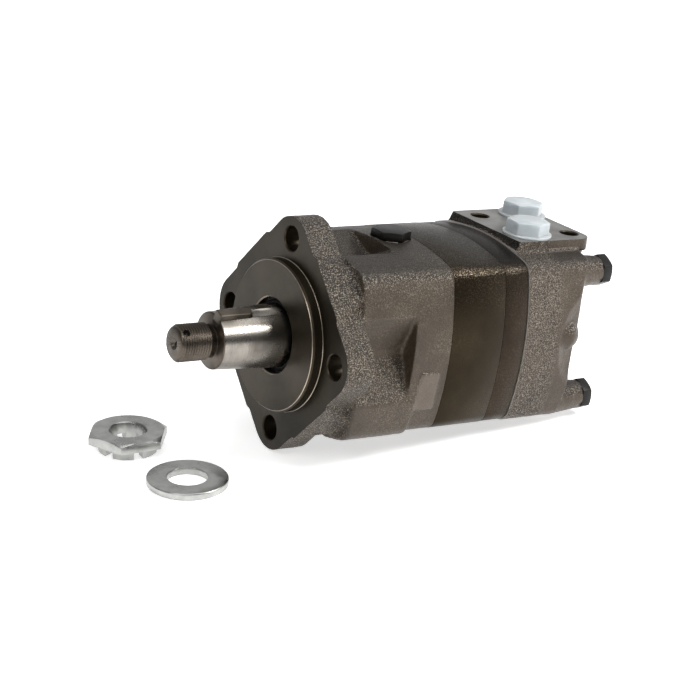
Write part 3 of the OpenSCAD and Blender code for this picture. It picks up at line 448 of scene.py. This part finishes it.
def squareRing(half, sideR, cornerR, steps=24):
    # a square with crowned sides that run into round corners
    inset = sideR - half
    c = (math.sqrt(2 * (sideR - cornerR) ** 2 - inset ** 2) - inset) / 2
    swing = math.atan2(c, c + inset)
    ring = []
    for quarter in range(4):
        turn = quarter * math.pi / 2
        side = [(sideR * math.cos(t) - inset, sideR * math.sin(t)) for t in np.linspace(-swing, swing, steps)]
        side += [(c + cornerR * math.cos(t), c + cornerR * math.sin(t))
                 for t in np.linspace(swing, math.pi / 2 - swing, 12)[1:-1]]
        ring += [(u * math.cos(turn) - v * math.sin(turn), u * math.sin(turn) + v * math.cos(turn)) for u, v in side]
    return ring


def octagon(square, diamond):
    # a square whose corners are cut off at the diamond's distance from the middle
    k = diamond * math.sqrt(2) - square
    first = [(square, -k), (square, k)]
    return [(u * math.cos(q) - v * math.sin(q), u * math.sin(q) + v * math.cos(q))
            for q in (0, math.pi / 2, math.pi, 1.5 * math.pi) for u, v in first]


housing = {"joint": -75.4, "flange": 17.5, "reach": 65.2, "tipR": 17.6, "front": (50.3, 53.0), "rear": (45.9, 56.5),
           "half": 51.5, "sideR": 150, "cornerR": 9, "extra": 3,  # extra is the stock that machining takes off
           "grooveEnd": -51.7, "grooveFloor": 40.6, "grooveR": 8, "grooveSlope": 23.27,
           "holeCircle": 53.2, "holeR": 6.75, "chamfer": 0.6, "boltAt": 37.2, "boltR": 5.05, "boltDepth": 30,
           "drainX": -63.9, "drainSeat": 50, "drainSeatR": 11.22, "drainR": 6.55, "drainTo": 30,
           "proudHalf": 53, "proudEnd": -57, "proudTop": -22,  # the lower corner columns
           "padX": (-70, -57.5), "padZ": (-10, -31), "padY": 50.75, "padLean": 7.7, "padRoot": 40,
           "cavityFrom": 8, "cavity": ((20.5, 1.5), (23.55, -3), (19.3, -4.5), (25.05, -12.3), (28.5, -21.5),
                                       (34.05, -69.34), (42.05, -78))}  # radius, and the station it reaches
housingCast = {"finishes": ("housing", "face", "spigot", "pad"), "voxel": 0.8, "worn": 2, "filled": 3,
               "lump": 160, "depth": 0.2}


def grooveDepth(ring):
    # pulls the points of a square ring down to the spanner grooves in the middle of each side
    slope, r, floor = math.radians(housing["grooveSlope"]), housing["grooveR"], housing["grooveFloor"]
    touch = (r * math.sin(slope), floor + r * (1 - math.cos(slope)))
    out = []
    for i in range(720):
        angle = 2 * math.pi * i / 720
        ray = Vector((math.cos(angle), math.sin(angle)))
        reach = min(hit for hit in (rayHit(ray, ring[j], ring[(j + 1) % len(ring)]) for j in range(len(ring))) if hit)
        off = abs((angle + math.pi / 4) % (math.pi / 2) - math.pi / 4)
        if off < math.atan2(*touch):
            deep = (floor + r) * math.cos(off) - math.sqrt(r * r - ((floor + r) * math.sin(off)) ** 2)
        else:
            deep = (touch[1] - math.tan(slope) * touch[0]) / (math.cos(off) - math.tan(slope) * math.sin(off))
        reach = min(reach, deep)
        out.append((ray.x * reach, ray.y * reach))
    return out


def rayHit(ray, a, b):
    edge = (b[0] - a[0], b[1] - a[1])
    cross = ray.x * edge[1] - ray.y * edge[0]
    if abs(cross) < 1e-12:
        return None
    t = (a[0] * edge[1] - a[1] * edge[0]) / cross
    s = (a[0] * ray.y - a[1] * ray.x) / cross
    return t if t > 0 and -1e-9 <= s <= 1 + 1e-9 else None


def flangeRing():
    tip, r = housing["reach"] - housing["tipR"], housing["tipR"]
    return [(tip * math.cos(q) + r * math.cos(q + t), tip * math.sin(q) + r * math.sin(q + t))
            for q in (0, math.pi / 2, math.pi, 1.5 * math.pi) for t in np.linspace(-math.pi / 4, math.pi / 4, 24)]


def frontHousing():
    h = housing
    lead = h["extra"] / h["flange"]
    ahead = [f + (f - r) * lead for f, r in zip(h["front"], h["rear"])]
    near, far = octagon(*ahead), octagon(*h["rear"])
    points = [(-h["flange"], u, v) for u, v in far] + [(h["extra"], u, v) for u, v in near]
    faces = [tuple(range(8)), tuple(range(8, 16))] + [(i, (i + 1) % 8, (i + 1) % 8 + 8, i + 8) for i in range(8)]
    square = squareRing(h["half"], h["sideR"], h["cornerR"])
    solids = [alongX(flangeRing(), -h["flange"], h["extra"]), outward(meshPiece("shoulders", points, faces)),
              alongX(square, h["joint"] - h["extra"], h["grooveEnd"]),
              alongX(grooveDepth(square), h["grooveEnd"] - 0.5, 0.2 - h["flange"])]
    columns = grooveDepth(squareRing(h["proudHalf"], h["sideR"], h["cornerR"]))
    proud, wide = alongX(columns, h["proudEnd"], -h["flange"] - 0.5), 70
    low = [(-wide, -wide), (wide, -wide), (wide, h["proudTop"]), (-wide, h["proudTop"])]
    solids.append(combined(proud, alongX(low, h["proudEnd"] - 1, 0), "INTERSECT"))
    px, pz, lean = h["padX"], h["padZ"], math.tan(math.radians(h["padLean"]))
    middle = (pz[0] + pz[1]) / 2
    solids.append(prism([(px[0], pz[0]), (px[1] - 1, pz[0]), (px[1], pz[1]), (px[0], pz[1])],
                        lambda u, v, end: (u, (h["padRoot"], h["padY"] + (v - middle) * lean)[end], v)))
    piece = castSkin(joined("front_housing_casting", solids), housingCast)
    planeCut(piece, (0, 0, 0), (1, 0, 0), 1)
    planeCut(piece, (h["joint"], 0, 0), (-1, 0, 0), 1)
    for face in piece.data.polygons:  # the pad is smoother than the sand-cast skin around it
        x, y, z = face.center / mm
        if px[0] < x < px[1] and pz[1] < z < pz[0] and y > h["padY"] + (z - middle) * lean - 0.6:
            face.material_index = 3
    r, c, at = h["holeR"], h["chamfer"], h["holeCircle"]
    hole = [(1, 0), (1, r + c + 1), (-c, r), (-h["flange"] - 3, r), (-h["flange"] - 3, 0)]
    bolt = stepped(h["joint"] - 2.6, (h["boltR"], h["joint"] + h["boltDepth"]))
    cutters = [lathe(stepped(h["cavityFrom"], *h["cavity"]), finishes=("spigot",))]
    cutters += [lathe(hole, middle, steps=48, finishes=("spigot",))
                for middle in ((at, 0), (0, at), (-at, 0), (0, -at))]
    cutters += [lathe(bolt, middle, steps=32, finishes=("spigot",)) for middle in fourTimes(h["boltAt"])]
    combined(piece, joined("cutters", cutters), "DIFFERENCE")
    drain = stepped(h["drainTo"], (h["drainR"], h["drainSeat"]), (h["drainSeatR"], h["drainSeat"] + 10))
    drill = lathe(drain, (h["drainX"], 0), upright=True, steps=64, finishes=("spigot",))
    combined(piece, drill, "DIFFERENCE")
    return finished(piece, "housing", "cast_iron_dark", "front_housing")


frontHousing()
spigot = {"r": 41.25, "height": 6, "chamfer": 1.1, "mouthR": 20.55, "mouthChamfer": 0.6, "foot": 0.8, "worn": 0.35,
          "sunk": 0.4, "fillet": 0.4}


def spigotRing():
    s = spigot
    profile = [(-s["sunk"], s["mouthR"]), (s["height"] - s["mouthChamfer"], s["mouthR"]),
               (s["height"], s["mouthR"] + s["mouthChamfer"]), (s["height"], s["r"] - s["chamfer"]),
               (s["height"] - s["worn"], s["r"] - s["chamfer"] + s["worn"]), (s["height"] - s["chamfer"], s["r"]),
               (s["foot"], s["r"]), (0.25, s["r"] + 0.1), (0, s["r"] + s["fillet"]),
               (-s["sunk"], s["r"] + s["fillet"] + 0.1)]
    piece = lathe(profile, steps=192, finishes=("spigot", "paintedRimHighlight"))
    piece.name = "front_housing_spigot"
    for face in piece.data.polygons:  # the rim's chamfers and the fillet get a painted highlight
        if 0.3 < face.normal.x < 0.95 and (face.center.x < 2 * mm or face.center.x > (s["height"] - s["worn"]) * mm):
            face.material_index = 1
    return finished(piece, "housing", "cast_iron_dark")


spigotRing()
print("front housing made")

cover = {"joint": -126.4, "end": -166.4, "lean": 0.09, "half": 52, "sideR": 150, "cornerR": 7, "round": 8, "extra": 3,
         "corner": 16, "wide": 70, "bossAt": 37.2, "bossR": 8.4, "bossRootR": 10.2, "bossRoot": -160.4,
         "bossEnd": -181, "boltR": 5.25, "plateFront": -128.7, "plateRear": -181.3, "plateHalf": 32.2, "plateR": 8,
         "plateT": 7.5, "top": 54.3, "frontZ": 49.7, "portX": -156.4, "portGap": (24.4, 35.6), "portR": 10.48,
         "portDepth": 15, "passageR": 5.5, "passageEnd": 24, "screwGap": (32.4, 41), "screwR": 5, "screwDepth": 12,
         "open": -125, "chamberR": 34, "chamberEnd": -149.4, "lug": (-158.5, 44, 3.5), "lugR": 9.5, "lugRoot": 14,
         "dish": (-177.7, 105.8), "dishR": 60, "dishTall": 1.7, "dishSteps": 64}  # the dish is the lug's hollow
coverCast = {"finishes": ("cover", "portFace", "jointFaceAndHighlight", "ramp"), "voxel": 0.75, "worn": 2, "filled": 5,
             "lump": 190, "depth": 0.25}


def arc(cx, cy, r, start, end, steps=12):
    return [(cx + r * math.cos(math.radians(t)), cy + r * math.sin(math.radians(t)))
            for t in np.linspace(start, end, steps)]


def platePlan(front, inset=0):
    c = cover
    y, r = c["plateHalf"] - inset, c["plateR"]
    rear = c["plateRear"]
    return [(front, -y), (front, y)] + arc(rear + r, y - r, r, 90, 180) + arc(rear + r, r - y, r, 180, 270)


def endCover():
    c = cover
    ahead, top, wide = c["joint"] + c["extra"], c["half"] + 4, c["wide"]
    foot, r = c["end"] + c["lean"] * c["half"], c["round"]
    side = [(ahead, -c["half"])] + [(ahead, top), (c["end"] - c["lean"] * top, top),
                                    (c["end"] + c["lean"] * (c["half"] - r), r - c["half"])]
    side += arc(foot + r, r - c["half"], r, 181, 270)
    rear, k = c["end"] - c["lean"] * c["half"], c["corner"]
    plan = [(ahead, -c["half"]), (ahead, c["half"])] + arc(rear + k, c["half"] - k, k, 90, 180, 24)
    plan += arc(rear + k, k - c["half"], k, 180, 270, 24)
    body = alongX(squareRing(c["half"], c["sideR"], c["cornerR"]), c["bossEnd"] - 1, ahead)
    combined(body, prism(side, lambda u, v, end: (u, (-wide, wide)[end], v)), "INTERSECT")
    combined(body, prism(plan, lambda u, v, end: (u, v, (-wide, wide)[end])), "INTERSECT")
    (x, y), last = c["dish"], c["dishSteps"] - 1
    dish = lathe([(x + c["dishR"] * math.cos(t), c["dishR"] * math.sin(t) if 0 < i < last else 0)
                  for i, t in enumerate(np.linspace(0, math.pi, c["dishSteps"]))], (y, 0), steps=192)
    dish.data.transform(Matrix.Diagonal((1, 1, c["dishTall"], 1)))
    combined(body, dish, "DIFFERENCE")
    grow = (c["bossRootR"] - c["bossR"]) / (c["bossRoot"] - c["bossEnd"])
    boss = [(c["bossEnd"] - c["extra"], 0), (c["bossEnd"] - c["extra"], c["bossR"] - c["extra"] * grow),
            (c["bossRoot"], c["bossRootR"]), (c["bossRoot"], c["bossR"]), (c["joint"] - 14, c["bossR"]),
            (c["joint"] - 14, 0)]
    solids = [body] + [lathe(boss, middle, steps=48) for middle in fourTimes(c["bossAt"])]
    rim, crown = c["top"] - c["plateT"], c["top"] + c["extra"]
    slope = (c["top"] - c["frontZ"]) / (c["joint"] - c["plateFront"])
    high = c["plateFront"] - c["extra"] / slope
    nose = [(ahead, rim - 6), (ahead, c["frontZ"] - slope * c["extra"]), (high, crown), (high - 8, crown),
            (high - 8, rim - 6)]
    solids += [prism(nose, lambda u, v, end: (u, (-1, 1)[end] * c["plateHalf"], v)),
               prism(platePlan(high - 1), lambda u, v, end: (u, v, (rim, crown)[end])),
               prism(platePlan(high - 1, 3), lambda u, v, end: (u, v, (rim - 8, rim + 1)[end]))]
    px, gap, py = c["portX"], c["portGap"][0] / 2, c["portGap"][1] / 2
    solids.append(lathe(stepped(14, (c["portR"] + 2, rim + 1)), (px - gap, -py), upright=True, steps=64))
    x, y, z = c["lug"]
    root = x + c["lugRoot"]
    dome = [(root, 0), (root, 0.6 * c["lugR"])]
    dome += [(x - c["lugR"] * math.sin(t), c["lugR"] * math.cos(t)) for t in np.linspace(0, math.pi / 2, 12)[:-1]]
    solids.append(lathe(dome + [(x - c["lugR"], 0)], (y, z), steps=48))
    piece = castSkin(joined("end_cover_casting", solids), coverCast)
    planeCut(piece, (0, 0, c["top"]), (0, 0, 1), 1)
    # the joint face and the bosses' ends take the pale milled finish, lightened near white as a painted highlight
    planeCut(piece, (c["joint"], 0, 0), (1, 0, 0), 2)
    planeCut(piece, (c["bossEnd"], 0, 0), (-1, 0, 0), 2,  # the bosses' ends, not the plate's rear between them
             lambda p: p.x < -176 and abs(p.z) < 46.3 and abs(p.y) > 26)
    for face in piece.data.polygons:  # the slope in front of the port face is painted almost black: painted shade
        if face.normal.x > 0.55 and face.center.x < (c["joint"] - 0.2) * mm and face.center.z > 48 * mm:
            face.material_index = 3
    screwR, low = c["screwR"], c["top"] - c["screwDepth"]
    screw = [(low - 1.5, 0), (low, screwR), (c["top"] - 0.7, screwR), (c["top"] + 0.5, screwR + 1.2),
             (c["top"] + 0.5, 0)]
    bolt = stepped(c["bossEnd"] - 7, (c["boltR"], c["open"]))
    cutters = [lathe(stepped(c["open"], (c["chamberR"], c["chamberEnd"])), finishes=("spigot",))]
    cutters += [lathe(bolt, middle, steps=32, finishes=("spigot",)) for middle in fourTimes(c["bossAt"])]
    cutters += [lathe(screw, (px + s * c["screwGap"][0] / 2, -s * c["screwGap"][1] / 2), upright=True, steps=48,
                      finishes=("spigot",)) for s in (-1, 1)]
    combined(piece, joined("cutters", cutters), "DIFFERENCE")
    seat, start = c["top"] - c["portDepth"], c["passageEnd"]
    port = [(start, 0), (start, c["passageR"]), (seat, c["passageR"]), (seat, c["portR"]),
            (c["top"] - 1, c["portR"]), (c["top"] + 0.5, c["portR"] + 1.5), (c["top"] + 0.5, 0)]
    cutters = [lathe(port, (px + s * gap, s * py), upright=True, steps=64, finishes=("spigot",)) for s in (-1, 1)]
    combined(piece, joined("cutters", cutters), "DIFFERENCE")
    return finished(piece, "housing", "cast_iron_cover", "end_cover")


endCover()
print("end cover made")


# Pieces that keep the solids' shapes, with their edges broken as on the real ones.
def edged(node, width, finish=None, outer=None):
    # outer keeps the bevel to edges further out than that radius from the shaft axis
    piece = bpy.data.objects.new(node + "_edged", nodes[node].data.copy())
    bpy.context.scene.collection.objects.link(piece)
    work = bmesh.new()
    work.from_mesh(piece.data)
    bmesh.ops.remove_doubles(work, verts=work.verts, dist=2e-6)
    bmesh.ops.dissolve_limit(work, angle_limit=math.radians(0.6), verts=work.verts, edges=work.edges)
    sharp = [e for e in work.edges if len(e.link_faces) == 2 and e.calc_face_angle() > math.radians(28)
             and (outer is None or min(math.hypot(v.co.y, v.co.z) for v in e.verts) > outer * mm)]
    bmesh.ops.bevel(work, geom=sharp, offset=width * mm, offset_type="OFFSET", segments=2, profile=0.5,
                    affect="EDGES", clamp_overlap=True)
    work.to_mesh(piece.data)
    work.free()
    if finish:
        piece.data.materials.clear()
        piece.data.materials.append(materials[finish])
    return finished(piece, bodyOf[node], slotOf[node], node)


brokenEdges = {"stator_ring": {"width": 0.45, "outer": 45}, "channel_plate": {"width": 0.55, "outer": 45,
               "finish": "plate"}, "tie_bolts": {"width": 0.35}, "drain_plug": {"width": 0.35},
               "near_port_plug": {"width": 0.5}, "far_port_plug": {"width": 0.5}, "flat_washer": {"width": 0.25},
               "castle_nut": {"width": 0.3}}
for node, edge in brokenEdges.items():
    edged(node, **edge)
print("edges broken")

# Shaft with its thread.
thread = {"pitch": 1.5, "crest": 10.0, "core": 9.1, "from": 46.7, "to": 63.5, "fade": 0.04, "thin": 0.05}


def threadTree():
    # Geometry nodes: a diamond bar along a spiral, one closed ridge for the whole thread
    tree = bpy.data.node_groups.new("thread_ridge", "GeometryNodeTree")
    for name, kind in (("Turns", "NodeSocketFloat"), ("Radius", "NodeSocketFloat"), ("Length", "NodeSocketFloat"),
                       ("Ridge", "NodeSocketFloat"), ("Steel", "NodeSocketMaterial")):
        tree.interface.new_socket(name, in_out="INPUT", socket_type=kind)
    tree.interface.new_socket("Geometry", in_out="OUTPUT", socket_type="NodeSocketGeometry")
    given = addNode(tree, "NodeGroupInput").outputs
    spiral = addNode(tree, "GeometryNodeCurveSpiral", {"Resolution": 72, "Rotations": given["Turns"],
                     "Start Radius": given["Radius"], "End Radius": given["Radius"], "Height": given["Length"]})
    along = addNode(tree, "GeometryNodeSplineParameter").outputs["Factor"]
    into = addNode(tree, "ShaderNodeMapRange", [along, 0, thread["fade"]])
    out = addNode(tree, "ShaderNodeMapRange", [along, 1, 1 - thread["fade"]])
    fade = addNode(tree, "ShaderNodeMath", [into, out], operation="MINIMUM")
    fade = addNode(tree, "ShaderNodeMath", [fade, thread["thin"]], operation="MAXIMUM")
    spiral = addNode(tree, "GeometryNodeSetCurveRadius", {"Curve": spiral, "Radius": fade})
    spiral = addNode(tree, "GeometryNodeSetCurveNormal", [spiral], mode="Z_UP")
    bar = addNode(tree, "GeometryNodeCurvePrimitiveCircle", {"Resolution": 4, "Radius": given["Ridge"]})
    ridge = addNode(tree, "GeometryNodeCurveToMesh", {"Curve": spiral, "Profile Curve": bar, "Fill Caps": True})
    real = addNode(tree, "GeometryNodeRealizeInstances", [ridge])
    dressed = addNode(tree, "GeometryNodeSetMaterial", {"Geometry": real, "Material": given["Steel"]})
    addNode(tree, "NodeGroupOutput", {"Geometry": dressed})
    return tree


ridgeTree = threadTree()


def threadRidge(name, radius, length, ridge, turn):
    piece = meshPiece(name, [(0, 0, 0)], [])
    step = piece.modifiers.new("thread", "NODES")
    step.node_group = ridgeTree
    values = {"Turns": length / thread["pitch"], "Radius": radius * mm, "Length": length * mm, "Ridge": ridge * mm,
              "Steel": materials["thread"]}
    for item in ridgeTree.interface.items_tree:
        if item.in_out == "INPUT":
            step[item.identifier] = values[item.name]
    baked(piece)
    piece.data.transform(turn)
    return outward(piece)


def halfCut(node, station):
    # the node's own shape behind a station on the shaft axis
    work = bmesh.new()
    work.from_mesh(nodes[node].data)
    bmesh.ops.remove_doubles(work, verts=work.verts, dist=2e-6)
    cut = bmesh.ops.bisect_plane(work, geom=work.verts[:] + work.edges[:] + work.faces[:], dist=1e-7,
                                 plane_co=(station * mm, 0, 0), plane_no=(1, 0, 0), clear_outer=True)["geom_cut"]
    bmesh.ops.holes_fill(work, edges=[e for e in cut if isinstance(e, bmesh.types.BMEdge)], sides=0)
    mesh = bpy.data.meshes.new(node + "_rear")
    work.to_mesh(mesh)
    work.free()
    piece = bpy.data.objects.new(node + "_rear", mesh)
    bpy.context.scene.collection.objects.link(piece)
    mesh.materials.append(materials["ground"])
    return piece


keySeat = {"from": 23.6, "to": 43.6, "half": 3.0, "bottom": 12.2, "top": 18.5, "turn": 20, "edge": 0.4, "gap": 0.03,
           "low": 0.02, "clear": 24, "runOut": (40, 45.6)}


def keyPlan(half, inset=0.0):
    # a bar whose inner end is round and whose outer end is square
    k = keySeat
    r, middle, end = half - inset, k["from"] + half, k["to"] - inset
    return [(end, r), (middle, r)] + arc(middle, 0, r, 90, 270, 20)[1:-1] + [(middle, -r), (end, -r)]


def turnedKey(u, v, height):
    a = math.radians(keySeat["turn"])
    return u, v * math.cos(a) + height * math.sin(a), height * math.cos(a) - v * math.sin(a)


shaft = {"seam": 2.0, "taperFrom": -0.4, "taperR": 17.5, "slope": 0.0506, "taperEnd": (43.0, 15.32),
         "shoulder": ((43.3, 15.2), (43.6, 14.5), (43.6, 9.4)), "undercut": ((43.9, 8.8), (46.0, 8.8)),
         "threaded": (46.5, 63.9), "tip": ((64.5, 8.6), (64.8, 8.2)), "end": 64.8, "rolledFrom": 42.9,
         "centre": (60.5, 1.2, 62.6, 4.6), "pinX": 61.3, "pinR": 2, "pinTurn": -38, "pinReach": 30}


def pinHole():
    s = shaft
    piece = lathe(stepped(-s["pinReach"], (s["pinR"], s["pinReach"])), upright=True, steps=40, finishes=("hard",))
    turn = Matrix.Rotation(math.radians(s["pinTurn"]), 4, "X")
    piece.data.transform(Matrix.Translation((s["pinX"] * mm, 0, 0)) @ turn)
    return piece


def outputShaft():
    s, t, k = shaft, thread, keySeat
    seamR = s["taperR"] - (s["seam"] - s["taperFrom"]) * s["slope"]
    profile = [(s["seam"], 0), (s["seam"], seamR), s["taperEnd"], *s["shoulder"], *s["undercut"],
               *((x, t["core"]) for x in s["threaded"]), *s["tip"], (s["end"], 0)]
    piece = lathe(profile, steps=160, finishes=("ground",))
    heights, half = (k["bottom"], k["clear"]), k["half"] + k["gap"]
    runOut = [(k["runOut"][0], -half), (k["runOut"][0], half), (k["runOut"][1], half), (k["runOut"][1], -half)]
    for plan in (keyPlan(half), runOut):
        slot = prism(plan, lambda u, v, end: turnedKey(u, v, heights[end]), "hard")
        combined(piece, slot, "DIFFERENCE")
    start, r, cone, mouth = s["centre"]
    centre = [(start, 0), (start, r), (cone, r), (cone + mouth - r, mouth), (cone + mouth - r, 0)]
    combined(piece, lathe(centre, steps=48, finishes=("hard",)), "DIFFERENCE")
    combined(piece, pinHole(), "DIFFERENCE")
    piece.data.materials.append(materials["thread"])
    for face in piece.data.polygons:  # the threaded end and the shoulder stay as rolled
        if face.center.x > s["rolledFrom"] * mm and face.material_index == 0:
            face.material_index = len(piece.data.materials) - 1
    whole = joined("output_shaft_turned", [piece, halfCut("output_shaft", s["seam"])])
    ridge = threadRidge("shaft_thread_ridge", t["core"], t["to"] - t["from"], t["crest"] - t["core"],
                        Matrix.Translation((t["from"] * mm, 0, 0)) @ Matrix.Rotation(math.pi / 2, 4, "Y"))
    combined(ridge, pinHole(), "DIFFERENCE", tangled=True)
    finished(whole, "shaft", "ground_steel", "output_shaft")
    return finished(ridge, "shaft", "ground_steel")


def roundKey():
    k = keySeat
    low, high, shoulder = k["bottom"] + k["low"], k["top"], k["top"] - k["edge"]
    outlines = [(keyPlan(k["half"]), low), (keyPlan(k["half"]), shoulder), (keyPlan(k["half"], k["edge"]), high)]
    count = len(outlines[0][0])
    points = [turnedKey(u, v, height) for ring, height in outlines for u, v in ring]
    faces = [tuple(range(count)), tuple(range(3 * count - 1, 2 * count - 1, -1))]
    faces += [(a + i, a + (i + 1) % count, a + count + (i + 1) % count, a + count + i)
              for a in (0, count) for i in range(count)]
    piece = outward(meshPiece("shaft_key_round", points, faces, "key"))
    return finished(piece, bodyOf["shaft_key"], slotOf["shaft_key"], "shaft_key")


roundKey()
outputShaft()
print("shaft made")

# Camera, floor and lights. The camera stands where the photograph was taken, and the floor is the one the motor rests
# on.
shot = {"place": (0.56758, 0.85179, 0.33018), "right": (-0.82762, 0.54799, 0.12145),
        "up": (-0.07637, -0.32431, 0.94286), "back": (0.55607, 0.77106, 0.31026), "lens": 103.692}
cameraData = bpy.data.cameras.new("camera")
camera = bpy.data.objects.new("camera", cameraData)
bpy.context.scene.collection.objects.link(camera)
bpy.context.scene.camera = camera
cameraData.lens = shot["lens"]
cameraData.sensor_width = 36
camera.matrix_world = Matrix.Translation(shot["place"]) @ Matrix(
    [shot["right"], shot["up"], shot["back"]]).transposed().to_4x4()

stand = {"foot": Vector((-0.0175, 0, -0.0652)), "tilt": math.radians(5.519), "half": 40.0, "below": 0.00004}
floorUp = Vector((math.sin(stand["tilt"]), 0, math.cos(stand["tilt"])))
floorAhead = Vector((math.cos(stand["tilt"]), 0, -math.sin(stand["tilt"])))
middle = stand["foot"] - stand["below"] * floorUp
corners = [middle + a * stand["half"] * floorAhead + b * stand["half"] * Vector((0, 1, 0))
           for a, b in ((-1, -1), (1, -1), (1, 1), (-1, 1))]
floorMesh = bpy.data.meshes.new("floor")
floorMesh.from_pydata(corners, [], [(0, 1, 2, 3)])
floor = bpy.data.objects.new("floor", floorMesh)
bpy.context.scene.collection.objects.link(floor)
# matt white card, which shines where the camera or a reflection sees it and hardly lights the motor
card, tree, _ = newMaterial("floor_white_matt")
rays = addNode(tree, "ShaderNodeLightPath").outputs
direct = addNode(tree, "ShaderNodeMath", [rays["Is Camera Ray"], rays["Is Glossy Ray"]], operation="MAXIMUM")
shown = addNode(tree, "ShaderNodeMath", [direct, rays["Is Transmission Ray"]], operation="MAXIMUM")
glow = addNode(tree, "ShaderNodeMapRange", [shown, 0, 1, 0.05, 0.62])
matt = addNode(tree, "ShaderNodeBsdfPrincipled", {"Base Color": "f3f3f3", "Roughness": 0.9,
               "Emission Color": "ffffff", "Emission Strength": glow})
addNode(tree, "ShaderNodeOutputMaterial", [matt])
floorMesh.materials.append(card)

# a studio: a pale wall on the far side, dim walls on the near side, some light from the ceiling
world = bpy.data.worlds.new("studio")
bpy.context.scene.world = world
world.use_nodes = True
tree = world.node_tree
sky = addNode(tree, "ShaderNodeTexCoord").outputs["Generated"]
nearness = addNode(tree, "ShaderNodeVectorMath", [sky, (0.585, 0.811, 0)], operation="DOT_PRODUCT")
height = addNode(tree, "ShaderNodeSeparateXYZ", [sky]).outputs["Z"]
wall = addNode(tree, "ShaderNodeMapRange", [nearness, -0.7, 0.3, 0.6, 0.12])
ceiling = addNode(tree, "ShaderNodeMapRange", [height, 0.4, 0.9, 0, 0.2])
light = addNode(tree, "ShaderNodeMath", [wall, ceiling], operation="ADD")
tree.links.new(light.outputs[0], tree.nodes["Background"].inputs["Strength"])
tree.nodes["Background"].inputs["Color"].default_value = (1, 1, 1, 1)


def softbox(name, place, target, size, power):
    light = bpy.data.lights.new(name, "AREA")
    light.shape = "RECTANGLE"
    light.size, light.size_y = size
    light.energy = power
    lamp = bpy.data.objects.new(name, light)
    bpy.context.scene.collection.objects.link(lamp)
    lamp.location = place
    lamp.rotation_mode = "QUATERNION"
    lamp.rotation_quaternion = (Vector(target) - Vector(place)).to_track_quat("-Z", "Y")
    return lamp


softbox("overhead", (-0.1, 0.15, 1.2), (-0.08, 0, 0), (1.0, 0.7), 5)
softbox("nearRear", (-0.64, 0.6, 0.82), (0, 0, 0), (0.6, 0.3), 13)
softbox("nearFront", (0.9, 0.5, 0.7), (0, 0, 0), (0.6, 0.5), 4)
bpy.context.scene.view_settings.view_transform = "Standard"
print("stage set")
